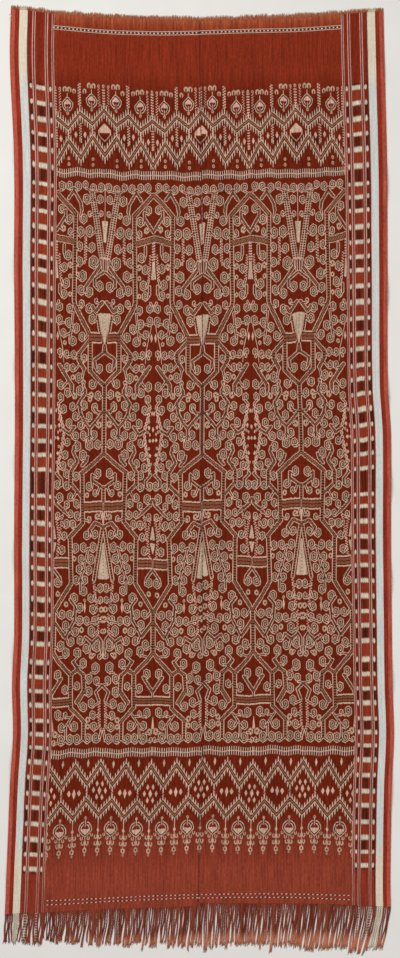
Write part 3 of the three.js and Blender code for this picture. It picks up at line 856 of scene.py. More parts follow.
def coil_scrolls(scrolls, strokes):
    """Gives each scroll its hand and the turn at which its coil starts, so that the coil runs out past one
    side towards the nearest band. In the field a stem joins it to the band, or a short tail hangs where no
    band is close. Returns both tables."""
    carriers = strokes[strokes[:, 6] < SOLID]
    near = nearest_on_strokes(scrolls[:, 0:2], carriers)
    offset = near - scrolls[:, None, 0:2]
    reach = np.maximum(scroll_reach(offset[..., 0], offset[..., 1], SCROLL_SIDE), 0.01)
    gap = np.linalg.norm(offset, axis=-1) * (1 - scrolls[:, 2:3] / reach)
    pick = np.argmin(np.abs(gap), axis=1)
    each = np.arange(len(scrolls))
    aim = offset[each, pick]
    closest = gap[each, pick]
    spiral = scrolls[:, 3] == SPIRAL
    hand = np.where(spiral, np.where(aim[:, 0] >= 0, 1.0, -1.0), scrolls[:, 4])
    leaves = np.arctan2(aim[:, 1], aim[:, 0] * SCROLL_SIDE) / (2 * np.pi) + hand * COIL_LEAD
    turn = -hand * leaves
    coils = np.stack([hand, turn - np.floor(turn), scrolls[:, 3]], axis=1)
    cosine = np.cos(2 * np.pi * leaves)
    sine = np.sin(2 * np.pi * leaves)
    way = np.stack([cosine / SCROLL_SIDE, sine], axis=1)
    back = np.stack([sine, -cosine], axis=1) * hand[:, None]
    share = (scrolls[:, 2] - MOUTH_DEPTH) / scroll_reach(way[:, 0], way[:, 1], SCROLL_SIDE)
    mouth = scrolls[:, 0:2] + way * share[:, None]
    joined = (closest < STEM_REACH) & (closest > -STEM_OVERLAP)
    tail = mouth + back * TAIL_BACK + way * TAIL_OUT
    tail_end = np.where(joined[:, None], near[each, pick], tail)
    in_field = (scrolls[:, 1] > COMB_PLACES[0]) & (scrolls[:, 1] < COMB_PLACES[1])
    stemmed = spiral & in_field & (scrolls[:, 2] > STEMMED_SIZE)
    plain = np.tile([STEM_WIDTH, STEM, 1, 1], (int(stemmed.sum()), 1))
    stems = as_strokes(np.hstack([mouth[stemmed], tail_end[stemmed], plain]))
    return coils, np.vstack([strokes, stems])


def two_nearest(clearance):
    """Which two of the last axis are the smallest, nearest first."""
    return np.argsort(clearance, axis=-1)[:, :2].T


def chart_notes():
    """For each face of the tied field, the two nearest scrolls and the two nearest strokes. The faces of one
    half repeat are worked out, then laid three times across, mirrored in turn."""
    scrolls = chart_scrolls()
    coils, strokes = coil_scrolls(scrolls, chart_strokes())
    columns = int(FIELD_COLUMNS * HALF_REPEAT / FIELD_TIES)
    rows = int(TIED_ROWS - TIED_TOP)
    across = (np.arange(columns) + 0.5) * HALF_REPEAT / columns
    down = TIED_ROWS - 0.5 - np.arange(rows)
    places = np.stack(np.meshgrid(across, down), axis=-1).reshape(-1, 2)
    offset = places[:, None, :] - scrolls[None, :, 0:2]
    side = np.where(scrolls[:, 3] >= DROP, DROP_SIDE, SCROLL_SIDE)
    scroll_picks = two_nearest(scroll_reach(offset[..., 0], offset[..., 1], side) - scrolls[:, 2])
    gap = np.linalg.norm(nearest_on_strokes(places, strokes) - places[:, None, :], axis=-1)
    stroke_picks = two_nearest(gap - strokes[:, 2])
    notes = {}
    for word, scroll, stroke in zip(("near", "next"), scroll_picks, stroke_picks):
        notes[f"scroll_{word}"] = scrolls[scroll, 0:3]
        notes[f"coil_{word}"] = coils[scroll]
        notes[f"stroke_{word}"] = strokes[stroke, 0:3]
        notes[f"run_{word}"] = strokes[stroke, 3:6]
        notes[f"filling_{word}"] = strokes[stroke, 6:9]
    halves = {name: values.reshape(rows, columns, 3) for name, values in notes.items()}
    return {name: np.concatenate([v[:, ::-1], v, v[:, ::-1]], axis=1) for name, v in halves.items()}


def panel_grid(side):
    """Crossings of the panel's grid: their places on the chart and on the cloth. Columns follow the stripes
    and the ties, and rows the ties down the warp. A row lies the same share of the way from the hem to the
    cut edge all across, slipped a little and with a slow wander, so the design bows as the ends do."""
    stripes = STRIPE_TIES * np.linspace(-1, 0, STRIPE_COLUMNS + 1)[:-1]
    ties = np.concatenate([stripes, np.linspace(0, FIELD_TIES, FIELD_COLUMNS + 1)])
    foot = np.linspace(CLOTH_FOOT, TIED_ROWS, END_ROWS + 1)[:-1]
    tied = np.linspace(TIED_ROWS, TIED_TOP, int(TIED_ROWS - TIED_TOP) + 1)[:-1]
    down = np.concatenate([foot, tied, np.linspace(TIED_TOP, CLOTH_TOP, END_ROWS + 1)])
    if side == "right":
        ties = ties[::-1]
    a, b = np.meshgrid(ties, down)
    v = (CLOTH_FOOT - b) / (CLOTH_FOOT - CLOTH_TOP)
    share = through(FIELD_EDGE, "v", "share", v)
    across = np.where(a < 0, (1 + a / STRIPE_TIES) * share, share + (1 - share) * a / FIELD_TIES)
    across = np.clip(across, 0, 1)
    hem = end_at(side, "hem", across)
    top = end_at(side, "cut", across) - FRAY_DEPTH
    calm = np.minimum(1, EDGE_CALM * across * (1 - across) * v * (1 - v))
    phase = WANDER_START[side]
    wander = SLOW_WANDER * np.sin(17 * across + 9 * v + phase)
    wander = wander + QUICK_WANDER * np.sin(41 * across - 23 * v + 2 * phase)
    at_selvedge = through(PICK_SLIP[side], "v", "selvedge", v)
    seam_groove_shade = through(PICK_SLIP[side], "v", "seam", v)
    y = hem + (top - hem) * v + calm * wander + at_selvedge + (seam_groove_shade - at_selvedge) * across
    x = across_at(side, across, y)
    cockle = np.sin(x / 47 + 1.3 * np.sin(y / 190)) * np.sin(y / 83 + 0.7 * np.sin(x / 61))
    z = lift(side, across, y) + COCKLE_HEIGHT / 2 * calm * cockle
    return np.stack([a, b], axis=-1), np.stack([x, y, z], axis=-1)


def panel(side, finish, notes):
    """One loom width: a closed sheet of two like grids, one thickness apart, with a rim of quads."""
    chart, under = panel_grid(side)
    under[..., 2] = np.maximum(under[..., 2], FLOOR_CLEARANCE)
    over = under + np.array([0, 0, THICKNESS - FLOOR_CLEARANCE])
    rows, columns = chart.shape[0] - 1, chart.shape[1] - 1
    top = np.arange(chart.shape[0] * chart.shape[1]).reshape(chart.shape[:2])
    low = top + top.size
    quads = np.stack([top[:-1, :-1], top[:-1, 1:], top[1:, 1:], top[1:, :-1]], axis=-1)
    turned = np.stack([low[:-1, :-1], low[1:, :-1], low[1:, 1:], low[:-1, 1:]], axis=-1)
    around_top = np.concatenate([top[0, :-1], top[:-1, -1], top[-1, :0:-1], top[:0:-1, 0]])
    around_low = around_top + top.size
    rim = np.stack([around_low, np.roll(around_low, -1), np.roll(around_top, -1), around_top], axis=-1)
    points = np.stack([over, under])
    faces = [quads, turned, rim]
    piece = lay_piece(f"ikat_panel_{side}", points, faces, finish, [f"panel_{side}"])
    note_on_points(piece, "chart", np.concatenate([chart.reshape(-1, 2)] * 2))
    for name, field in notes.items():
        values = np.zeros((rows, columns, 3))
        values[:] = NO_PLACE if name.split("_")[0] in ("scroll", "stroke") else NO_RUN
        laid = field if side == "left" else field[:, ::-1]
        first = STRIPE_COLUMNS if side == "left" else 0
        values[END_ROWS:END_ROWS + field.shape[0], first:first + FIELD_COLUMNS] = laid
        bare = np.tile(values[0, 0], (len(rim), 1))
        note_on_faces(piece, name, np.concatenate([values.reshape(-1, 3), values.reshape(-1, 3), bare]))
    piece.data.set_sharp_from_angle(angle=math.radians(SHARP_ANGLE))
    return piece


def scroll_marks(finish, across, down, word):
    """Cream, dark and tan core of one scroll, ring, drop or house. A scroll is a six-sided coil: the depth
    inside its outline, less a share of the turn already gone, repeats as a cream and a dark line side by
    side. A small one is a ring, or in a border a hook, open to the middle of the cloth. A drop is cream to
    its pointed end, and to its round end it is two lines with a gap where the stem goes in."""
    middle_across, middle_down, size = finish.parts(finish.noted(f"scroll_{word}"))
    hand, turn, kind = finish.parts(finish.noted(f"coil_{word}"))
    p = across - middle_across
    q = down - middle_down
    wide = abs(p)
    lower = q * hand
    is_small = same(kind, SPIRAL) * mask(RING_SIZE - size, 0.1)
    is_ring = same(kind, RING) + is_small
    is_pointed = mask(kind - DROP + 0.5, SOFT)
    is_house = same(kind, HOUSE)
    is_drop = is_pointed - is_house
    is_coil = 1 - is_ring - is_pointed

    side = SCROLL_SIDE - is_drop * (SCROLL_SIDE - DROP_SIDE)
    stretched = p * side
    oval = hypot(stretched, q)
    shoulder = SCROLL_SHOULDER + is_pointed * 0.4
    to_side = size / side - wide
    to_shoulder = (size - abs(q) - wide * shoulder) * (1 + SCROLL_SHOULDER ** 2) ** -0.5
    to_oval = (size - oval) * 0.8
    pointed = SCROLL_POINTS * (1 - mask(lower, 0.3) * is_drop)
    depth = to_oval + (least(to_side, to_shoulder) - to_oval) * pointed
    about = finish.math("ARCTAN2", q, stretched) * (0.5 / math.pi)
    gone = (hand * about + turn) % 1.0
    wound = depth - gone * is_coil * COIL_PITCH
    inside = mask(wound, CRISP)

    coil = mask(0.25 - off_middle(wound / COIL_PITCH - 0.25), CRISP)
    hole = mask(size * 0.36 - oval, SOFT)
    line = band(depth, *DROP_LINE, CRISP) * (1 - is_house)
    gap = mask(0.6 - wide, SOFT) * mask(lower - size * 0.4, 0.3) * is_drop
    toward = 1 - after(down, FIELD_MIDDLE, 1.0) * 2
    in_border = 1 - band(down, *COMB_PLACES, 1.0)
    slot = is_small * in_border * mask(size * 0.22 - wide, 0.16) * mask(q * toward, SOFT)
    opening = most(gap, slot)
    heart = mask(depth - 1.42 + is_house * 0.87, SOFT) * mask(lower - 0.1, SOFT) * is_pointed
    bare = most(heart, opening)
    dark = inside * (coil * is_coil + hole * is_ring + line * is_pointed) * (1 - opening)
    core = most(mask(depth - 0.7, 0.3) * (1 - is_pointed), is_ring)
    soiled = is_house * mask(lower - size * 0.3, 0.5) * 0.4
    return inside * (1 - dark) * (1 - bare) * (1 - soiled), dark + soiled, core


def stroke_marks(finish, across, down, word):
    """One straight run of a band: how far its body and its inside cover, the dark and tan of its filling, and
    whether it is a solid shape. Fillings follow the distance along the run. The body is all within half a
    width of the middle line, but chains and knots are strings of dots, and wide shapes have scalloped
    sides."""
    start_across, start_down, half = finish.parts(finish.noted(f"stroke_{word}"))
    run_across, run_down, length = finish.parts(finish.noted(f"run_{word}"))
    filling, taper_start, taper_end = finish.parts(finish.noted(f"filling_{word}"))
    kinds = (LADDER, BEADS, CHAIN, KNOTS, SOLID, BAR)
    is_ladder, is_beads, is_chain, is_knots, is_solid, is_bar = [same(filling, kind) for kind in kinds]
    is_lined = mask(LADDER - 0.5 - filling, SOFT)
    ends_flat = mask(filling - SOLID + 0.5, SOFT)
    p = across - start_across
    q = down - start_down
    along = p * run_across + q * run_down
    sideways = q * run_across - p * run_down
    past = most(most(along * -1.0, along - length), 0.0) * (1 + ends_flat * 6)
    not_past = mask(0.4 - past, SOFT)
    off = hypot(sideways, past)
    share = finish.math("DIVIDE", along, length, clamp=True)
    width = half * (taper_start + (taper_end - taper_start) * share)
    step = off_middle(along / DOT_PITCH)
    is_wide = is_beads + is_solid * mask(width - 0.8, SOFT)
    depth = width - off - (0.5 - step) * is_wide * 0.5 + is_ladder * 0.12

    second = mask(sideways, 0.1)
    chain_step = ((along / CHAIN_PITCH + second * 0.5) % 1.0 - 0.5) * CHAIN_PITCH
    chain_off = hypot(chain_step, abs(sideways) - width * 0.5)
    knot_off = hypot(((along / KNOT_PITCH) % 1.0 - 0.5) * KNOT_PITCH, sideways)
    knot = most(mask(width - knot_off, SOFT), mask(0.35 - off, SOFT))
    body = mask(depth, 0.16) * (1 - is_chain - is_knots)
    body = body + (is_chain * mask(width * 0.55 - chain_off, 0.16) + is_knots * knot) * not_past

    rim = BAND_RIM + is_bar * (BAR_RIM - BAND_RIM)
    inside = mask(depth - rim, CRISP) * (is_lined + is_ladder + is_bar)
    line = mask(rim + BAND_LINE - depth, 0.12)
    slant = mask(off_middle((across + down * 0.7) * 0.85) - 0.27, SOFT)
    block = mask(0.25 - off_middle(along / CHAIN_PITCH), 0.12)
    bead_off = hypot((abs(sideways) - 0.65) / DOT_PITCH, step)
    wide_dot = mask(0.2 - (abs(sideways) * 0.5 + off_middle(along / WIDE_DOT_PITCH)), 0.1)
    bar_line = band(depth, rim, rim + 0.5, CRISP) + mask(0.22 - off, CRISP)
    dark = is_lined * most(line, slant * 0.7) + is_ladder * block + is_bar * bar_line
    dots = is_knots * mask(0.28 - knot_off, 0.16) + is_beads * mask(0.36 - bead_off, 0.12)
    dots = dots + is_solid * mask(width - 1.1, 0.3) * wide_dot * 0.6
    dark = finish.math("MULTIPLY", dark, inside, clamp=True) + dots * not_past
    tan = inside * (is_lined + is_ladder * 0.75 + is_bar * 0.55) + body * is_beads * 0.3
    return body, inside, dark, tan, body * is_solid * mask(half - 1.1, SOFT)


def border_marks(finish, across, down):
    """Cream, dark and tan of the zigzags and combs. A zigzag is a level line, tilted a little, that swings by
    a triangle wave across the cloth, with teeth on both sides. Its lines keep to the distance square to the
    slope, its teeth to the distance along the warp."""
    half_gap = AXIS_GAP / 2
    wave = finish.math("PINGPONG", across, AXIS_GAP) / half_gap - 1
    lines = []
    pasts = []
    for level, tilt, reach in ZIGZAGS:
        narrowed = (1 + (reach / half_gap) ** 2) ** -0.5
        away = abs(down - level - across * tilt - wave * reach)
        lines.append(away * narrowed)
        pasts.append(away - 1 / narrowed)
    line = reduce(least, lines)
    beyond = reduce(least, pasts)
    drawn = finish.math("SINE", across * 0.55) * COMB_DRAWN
    comb = reduce(least, [abs(down - place + drawn) for place in COMB_PLACES])

    tooth = off_middle(across / TOOTH_PITCH + 0.5)
    reach = TOOTH_LENGTH - after(down, FIELD_MIDDLE, 1.0) * TOOTH_SHORTER_AT_FOOT
    tip = least(reach, comb + beyond - COMB_CLEAR)
    point = mask(0.3 - beyond * 0.07 - tooth, 0.1) * mask(tip - beyond, 0.5)
    between = finish.math("MULTIPLY", tip - 0.2 - beyond, 0.8, clamp=True) * mask(beyond, SOFT)
    cream = most(band(line, *ZIGZAG_CREAM, 0.1), point * mask(beyond + 0.1, SOFT))
    dark = most(band(line, *ZIGZAG_DARK, 0.1), between * (1 - point))
    tan = mask(ZIGZAG_TAN - line, CRISP)
    tick = mask(0.2 - off_middle(across / TICK_PITCH), 0.1) * mask(TICK_LENGTH - comb, 0.3)
    cream = most(cream, most(tick, mask(0.24 - comb, CRISP)))
    dark = most(dark, mask(TICK_LENGTH - 0.2 - comb, 0.5) * (1 - tick) * 0.85)
    return cream, dark, tan


def cloth_ground(finish, down, streak):
    """Red of the plain cloth: deepest under the tied design, paler at the foot, bleached to the cut end, more
    in one yarn than in the next."""
    colour = mix(after(down, *HEAD_FADE), HEAD_GROUND, GROUND)
    colour = mix(after(down, *FOOT_FADE), colour, FOOT_GROUND)
    start, over = BLEACH
    faded = finish.math("MULTIPLY", start - down + streak * 4, 1 / over, clamp=True)
    return mix(faded * faded, colour, BLEACHED)


def stripe_colour(finish, share, down, streak):
    """Colours of the selvedge stripes by their share of the stripes' width, with tied dashes in the red ones.
    The dashes are counted both ways from the fold, which is left bare, and the cloth between them is dark and
    orange in turn. In the two narrow stripes a dash is a small oval."""
    stops = [
        (0.0, SELVEDGE_PALE), (0.10, SELVEDGE_RED), (0.20, WHITE_STRIPE), (0.372, PINK_LINE),
        (0.39, MAUVE_LINE), (0.412, STRIPE_RED), (0.492, PINK_LINE), (0.512, MAUVE_LINE),
        (0.544, PINK_LINE), (0.564, STRIPE_RED), (0.778, PINK_LINE), (0.798, MAUVE_LINE),
        (0.83, PINK_LINE), (0.85, STRIPE_RED), (0.93, PINK_LINE), (0.95, MAUVE_LINE),
        (0.974, PINK_LINE), (0.994, STRIPE_RED),
    ]
    colour = finish.node("ShaderNodeValToRGB", {"stops": stops}, {"Fac": share})
    white = band(share, *WHITE_PART, STRIPE_EDGE)
    ends = most(1 - after(down, *CREAM_HEAD), after(down, *CREAM_FOOT))
    colour = mix(white * ends, colour, CREAM_STRIPE)
    plain = band(share, *RED_PARTS, 0.01) * after(down, *PLAIN_FOOT)
    colour = mix(plain * 0.45, colour, FOOT_GROUND)
    wide = band(share, *WIDE_PART, STRIPE_EDGE)
    narrow = sum(band(share, *part, STRIPE_EDGE) for part in NARROW_PARTS)

    wander = finish.math("SINE", down * 0.21) * 0.05 + finish.math("SINE", down * 0.47 + 1) * 0.03
    from_fold = down - DASH_FOLD - (share - 0.68) * DASH_SLANT
    reach = abs(from_fold)
    gathered = sum(after(reach, start, over) * by for start, over, by in DASH_GATHERS)
    start, over, by = UPPER_GATHER
    gathered = gathered + mask(-start - from_fold, over) * by
    upper_stretch, lower_extra = DASH_STRETCH
    stretch = upper_stretch + mask(from_fold, 0.1) * lower_extra
    turn = abs(from_fold * stretch / DASH_PITCH + wander) + gathered / DASH_PITCH
    tied = mask(DASH_COUNT - turn, 0.1)
    step = 0.5 - off_middle(turn) + mask(0.5 - turn, 0.1)
    second = mask(0.25 - ((whole(turn) / 2) % 1.0), 0.1)

    middle = reduce(least, [abs(share - place) / half for place, half in OVAL_PLACES])
    oval = hypot(middle, step / OVAL_LENGTH)
    dash = wide * mask(0.14 - step, 0.1) + narrow * mask(1.0 - oval, 0.5)
    heart = wide * band(share, *HEART_PART, 0.05) * mask(step - 0.17, 0.14)
    between = mix(wide, STRIPE_RED, DASH_ORANGE)
    between = mix(second * (heart + narrow) * (1.4 - streak * 0.95), between, DASH_DARK)
    colour = mix((wide + narrow) * tied, colour, between)
    return mix(dash * tied, colour, DASH_CREAM)


def ikat_cloth():
    """Warp-faced cotton. Each yarn carries its own length of the chart, slipped a little along the warp, so
    shapes are crisp across and feathered along. The yarns' round backs and the picks under them are
    relief."""
    finish = Finish("ikat_cotton_cloth", Roughness=0.92, Specular_IOR_Level=0.04)
    a, b = finish.map_place("chart")
    x, y = finish.object_place()
    half_of_cloth = mask(x, 0.001)
    yarn = whole(a * YARNS_PER_TIE)
    lot = yarn + half_of_cloth * YARN_SALT
    bundle = whole(yarn / BUNDLE_YARNS) + half_of_cloth * BUNDLE_SALT
    slip = (finish.noise(lot * 7.31, b * 0.045) - 0.5) * YARN_SLIP
    slip = slip + (finish.noise(bundle * 3.77, b * 0.03) - 0.5) * BUNDLE_SLIP
    down = b + slip
    middle = (yarn + 0.5) / YARNS_PER_TIE
    across = HALF_REPEAT - finish.math("PINGPONG", middle, HALF_REPEAT)
    streak, slub, broad, blotch = [finish.noise(x * wide, y * long, detail) for wide, long, detail in GRAIN]
    yarn_tone = finish.chance(lot)

    ground = cloth_ground(finish, b, streak)
    colour = ground
    for word in ("next", "near"):
        cream, dark, core = scroll_marks(finish, across, down, word)
        colour = mix(dark, colour, DARK_DYE)
        colour = mix(cream, colour, mix(core, UNDYED, COIL_TAN))
    cream, dark, tan = border_marks(finish, across, down)
    colour = mix(tan, colour, TAN_DYE)
    colour = mix(dark, colour, DARK_DYE)
    colour = mix(cream, colour, UNDYED)
    body_1, inside_1, dark_1, tan_1, solid_1 = stroke_marks(finish, across, down, "near")
    body_2, inside_2, dark_2, tan_2, solid_2 = stroke_marks(finish, across, down, "next")
    colour = mix(most(body_1, body_2), colour, UNDYED)
    colour = mix(most(solid_1, solid_2), colour, SPEAR_WHITE)
    colour = mix(most(inside_1, inside_2), colour, ground)
    colour = mix(tan_2 * (1 - inside_1), colour, TAN_DYE)
    colour = mix(dark_2 * (1 - inside_1), colour, DARK_DYE)
    colour = mix(tan_1, colour, TAN_DYE)
    colour = mix(dark_1, colour, DARK_DYE)

    share = 1 + middle / STRIPE_TIES
    stripes = stripe_colour(finish, share, down, streak)
    colour = mix(mask(a * -1.0, 0.05), colour, stripes)
    grain_and_seam_shade = 0.08 + streak * 0.8 + slub * 0.42 + broad * 0.2 + blotch * 0.2 + yarn_tone * 0.22
    # Painted shade: over the last quarter tie before the seam the cloth is darkened by up to 0.45, as shade
    # in the seam's groove
    seam_groove_shade = mask(a - FIELD_TIES + 0.25, 0.5)
    grain_and_seam_shade = grain_and_seam_shade * (1 - seam_groove_shade * 0.45)
    grain_and_seam_shade = grain_and_seam_shade + (1 - grain_and_seam_shade) * band(share, *WHITE_PART, STRIPE_EDGE) * 0.6
    tint = finish.place(grain_and_seam_shade, grain_and_seam_shade, grain_and_seam_shade)
    settings = {"data_type": "RGBA", "blend_type": "MULTIPLY"}
    colour = finish.node("ShaderNodeMix", settings, {0: 1.0, 6: colour, 7: tint}, 2)
    finish.feed("Base Color", colour)

    across_yarn = (a * YARNS_PER_TIE) % 1.0 - 0.5
    back = 1 - across_yarn * across_yarn * 3.6
    odd = (yarn / 2) % 1.0
    pick = finish.math("COSINE", (b * PICKS_PER_TIE + odd) * (2 * math.pi))
    finish.relief(back * (0.8 + pick * 0.2), YARN_RELIEF)
    finish.feed("Roughness", 0.88 + yarn_tone * 0.08)
    return finish


def cords(paths, widths, heights, base, passed, lots, around):
    """Closed tubes that lie on a surface. Each tube follows its path in plan, and its section is an ellipse
    as wide as widths and as tall as heights whose lowest point is at base. Returns points, blocks of faces,
    each point's share of the way round and length passed, and each face's three numbers of its tube."""
    count, stations = paths.shape[:2]
    measures = (widths, heights, base, passed)
    widths, heights, base, passed = [np.broadcast_to(sizes, (count, stations)) for sizes in measures]
    step = np.gradient(paths, axis=1)
    step /= np.linalg.norm(step, axis=-1, keepdims=True)
    sideways = np.stack([-step[..., 1], step[..., 0]], axis=-1)
    angle = 2 * np.pi * np.arange(around) / around
    reach = 0.5 * widths[..., None, None] * np.cos(angle)[:, None]
    plan = paths[:, :, None, :] + sideways[:, :, None, :] * reach
    rise = base[..., None] + 0.5 * heights[..., None] * (1 + np.sin(angle))
    points = np.concatenate([plan, rise[..., None]], axis=-1)
    ring = np.arange(count * stations * around).reshape(count, stations, around)
    turned = np.roll(ring, -1, axis=2)
    sides = np.stack([ring[:, :-1], turned[:, :-1], turned[:, 1:], ring[:, 1:]], axis=-1)
    faces = [sides, ring[:, 0, ::-1], ring[:, -1]]
    about = np.broadcast_to(np.arange(around) / around, points.shape[:3])
    along = np.broadcast_to(passed[..., None], points.shape[:3])
    places = np.stack([about, along], axis=-1)
    each = [np.repeat(lots, block.size // block.shape[-1] // count, axis=0) for block in faces]
    return points.reshape(-1, 3), faces, places.reshape(-1, 2), each


def lay_cords(name, sets, finish, nodes):
    """Joins sets of cords into one piece that carries their places and numbers."""
    first = np.cumsum([0] + [len(points) for points, faces, places, each in sets])
    blocks = [block + start for start, made in zip(first, sets) for block in made[1]]
    piece = lay_piece(name, np.concatenate([made[0] for made in sets]), blocks, finish, nodes)
    note_on_points(piece, "strand", np.concatenate([made[2] for made in sets]))
    note_on_faces(piece, "strand_lot", np.concatenate([rows for made in sets for rows in made[3]]))
    return piece


def yarn_lots(first, index, salt):
    """Three numbers for each yarn: a given one and two uneven ones."""
    return np.stack([first + 0 * index, uneven(index, salt), uneven(index, salt + 1)], axis=-1)


def strand_groups():
    """Strands of the fringe in uneven groups: each strand's group, its place along the hem and the middle of
    its group, from the left end of the hem."""
    group = 0
    rows = []
    while len(rows) < FRINGE_STRANDS:
        first = len(rows)
        count = min(GROUP_LEAST + int(GROUP_SPREAD * uneven(group, 1)), FRINGE_STRANDS - first)
        middle = (first + (count - 1) / 2 + 0.5) / FRINGE_STRANDS
        rows += [(group, (first + k + 0.5) / FRINGE_STRANDS, middle) for k in range(count)]
        group += 1
    return np.array(rows).T


def fringe(side, finish):
    """Twisted warp ends: tubes that leave the hem side by side as flat ribbons, round off below it, lean with
    their group and sway, and each opens at the tip into three fine ends."""
    group, place, middle = strand_groups()
    index = np.arange(FRINGE_STRANDS)
    salt = 0 if side == "left" else 10
    across = place if side == "left" else 1 - place
    middle_across = middle if side == "left" else 1 - middle
    hem = end_at(side, "hem", across) - PIECE_GAP
    root_x = across_at(side, across, hem)
    middle_x = across_at(side, middle_across, end_at(side, "hem", middle_across))
    lean = end_at(side, "lean", across) + 4 * swing(group, salt + 3) + 3.5 * swing(index, salt + 13)
    gather = 0.05 + 0.17 * uneven(group, salt + 4)
    extra = np.where(uneven(index, salt + 7) > 0.97, LONG_STRAND_EXTRA, 0)
    ragged = 11 * swing(index, salt + 5) + 8 * swing(group, salt + 6)
    tip_x = root_x + lean + gather * (middle_x - root_x)
    tip_y = end_at(side, "tips", across) + ragged - extra
    root_y = hem - FRINGE_BACKING

    def hang(t):
        """Places at shares of the way from root to tip, with a sway that grows down the strand."""
        below = np.maximum(t, 0)
        wave = np.sin(6.5 * below + 6 * uneven(index, salt + 8)[:, None])
        sway = 1.3 * wave * np.minimum(below * 3, 1)
        x = root_x[:, None] + (tip_x - root_x)[:, None] * below ** 1.3 + sway
        return np.stack([x, root_y[:, None] + (tip_y - root_y)[:, None] * t], axis=-1)

    t = np.array([-0.06, -0.025, 0.0, 0.08, 0.2, 0.35, 0.5, 0.65, 0.8, 0.9, 0.95])
    paths = hang(t)
    paths[:, 0, 1] = hem
    paths[:, 1, 1] = hem - FRINGE_BACKING * 0.5
    width = np.array([5.2, 4.8, 4.4, 4.0, 3.9, 3.8, 3.8, 3.8, 4.0, 4.0, 2.6])
    height = np.array([1.4, 1.5, 1.9, 2.1, 2.1, 2.1, 2.1, 2.0, 1.9, 1.6, 1.0])
    full = 0.78 + 0.45 * uneven(index, salt + 9)[:, None]
    full = full * np.where(uneven(index, salt + 15) > 0.9, 1.5, 1.0)[:, None]
    lots = yarn_lots(across, index, 11)
    tall = np.minimum(height * full, TALLEST_STRAND)
    sets = [cords(paths, width * full, tall, FLOOR_CLEARANCE, hem[:, None] - paths[..., 1], lots, 6)]
    fine = np.array([0.84, 0.91, 0.97, 1.04])
    thin = np.array([1.9, 2.0, 1.8, 0.7])
    for turn, spread in enumerate((-1.9, 0.2, 2.0)):
        ends = hang(fine)
        open_out = spread * (0.6 + 0.8 * uneven(index, salt + 16 + turn))[:, None] * full
        ends[..., 0] += open_out * np.array([0.35, 0.6, 0.85, 1.15])
        ends[:, -1, 1] += 7 * swing(index, salt + 20 + turn)
        fallen = hem[:, None] - ends[..., 1]
        sets.append(cords(ends, thin * full, thin * 0.7, FLOOR_CLEARANCE, fallen, lots, 3))
    return lay_cords(f"fringe_strands_{side}", sets, finish, [f"fringe_{side}"])


def frayed_ends(side, finish):
    """Cut warp ends: short slender tubes that leave the cloth side by side, longer and shorter in turn."""
    index = np.arange(FRAY_ENDS)
    salt = 20 if side == "left" else 30
    across = (index + 0.5) / FRAY_ENDS
    edge = end_at(side, "cut", across) - FRAY_DEPTH + PIECE_GAP
    x = across_at(side, across, edge)
    lock = np.floor(across * FRAY_LOCKS)
    reach = 9.0 + 4.0 * uneven(lock, salt) + 4.5 * swing(index, salt + 3)
    lean = 3.0 * swing(lock, salt + 1) + 2.4 * swing(index, salt + 4)
    t = np.array([0, 0.3, 0.65, 1.0])
    paths = np.stack([x[:, None] + lean[:, None] * t ** 1.5, edge[:, None] + reach[:, None] * t], axis=-1)
    width = np.array([1.4, 1.35, 1.15, 0.5])
    height = np.array([1.4, 1.2, 0.9, 0.4])
    lots = yarn_lots(across, index, 13)
    sets = [cords(paths, width, height, FLOOR_CLEARANCE, reach[:, None] * t, lots, 4)]
    return lay_cords(f"frayed_ends_{side}", sets, finish, [f"fray_{side}"])


def stitches(middles, angles, lengths, widths, heights, base, lots):
    """Yarn showing on the face: short tubes, full in the middle and closing at both ends where they dive."""
    t = np.array([-0.5, -0.42, -0.22, 0.0, 0.22, 0.42, 0.5])
    swell = np.array([0.25, 0.7, 0.95, 1.0, 0.95, 0.7, 0.25])
    ways = np.stack([np.cos(angles), np.sin(angles)], axis=-1)
    paths = middles[:, None, :] + ways[:, None, :] * (lengths[:, None] * t)[..., None]
    sections = [sizes[:, None] * swell for sizes in (widths, heights)]
    return cords(paths, *sections, base, 5 * (t + 0.5), lots, 6)


def twined_row(side, row, finish):
    """One row of weft twining. At the foot, pale and dark yarns show in turn along one line. At the heading,
    pale and dark turns stand between two pale lines of slanting turns."""
    heading = row == "heading"
    pitch = (HEADING_PITCH if heading else FOOT_PITCH) / 2
    first = TWINE_START[row]
    start, end = [across_at(side, share, end_at(side, row, share)) for share in (first, TWINE_END)]
    count = int(abs(end - start) / pitch)
    lines = HEADING_LINES if heading else FOOT_LINES
    sets = []
    for offset, cover, width, slant in lines:
        number = count if offset == 0 else count * 2
        spacing = pitch if offset == 0 else pitch / 2
        index = np.arange(number)
        share = first + (TWINE_END - first) * (index + 0.5) / number
        y = end_at(side, row, share)
        loose = 0.9 * swing(index, 40 + offset)
        middles = np.stack([across_at(side, share, y), y + offset + loose * 0.6], axis=-1)
        angles = slant + 0.3 * swing(index, 41 + offset)
        pale = np.where(index % 2 == 0, 1.0, 0.0) if offset == 0 else np.ones(number)
        lengths = spacing * cover * (1 + 0.2 * swing(index, 42))
        fat = width * (0.9 + 0.2 * uneven(index, 43)) * np.where(pale > 0.5, 1, 0.8)
        tall = np.where(pale > 0.5, 1.15, 0.85)
        lots = yarn_lots(pale, index, 44)
        sets.append(stitches(middles, angles, lengths, fat, tall, THICKNESS + FLOOR_CLEARANCE, lots))
    if heading and side == "left":
        sets.append(loose_ends())
    nodes = [f"twined_{'heading' if heading else 'foot_' + row}_{side}"]
    return lay_cords(f"twining_{row}_{side}", sets, finish, nodes)


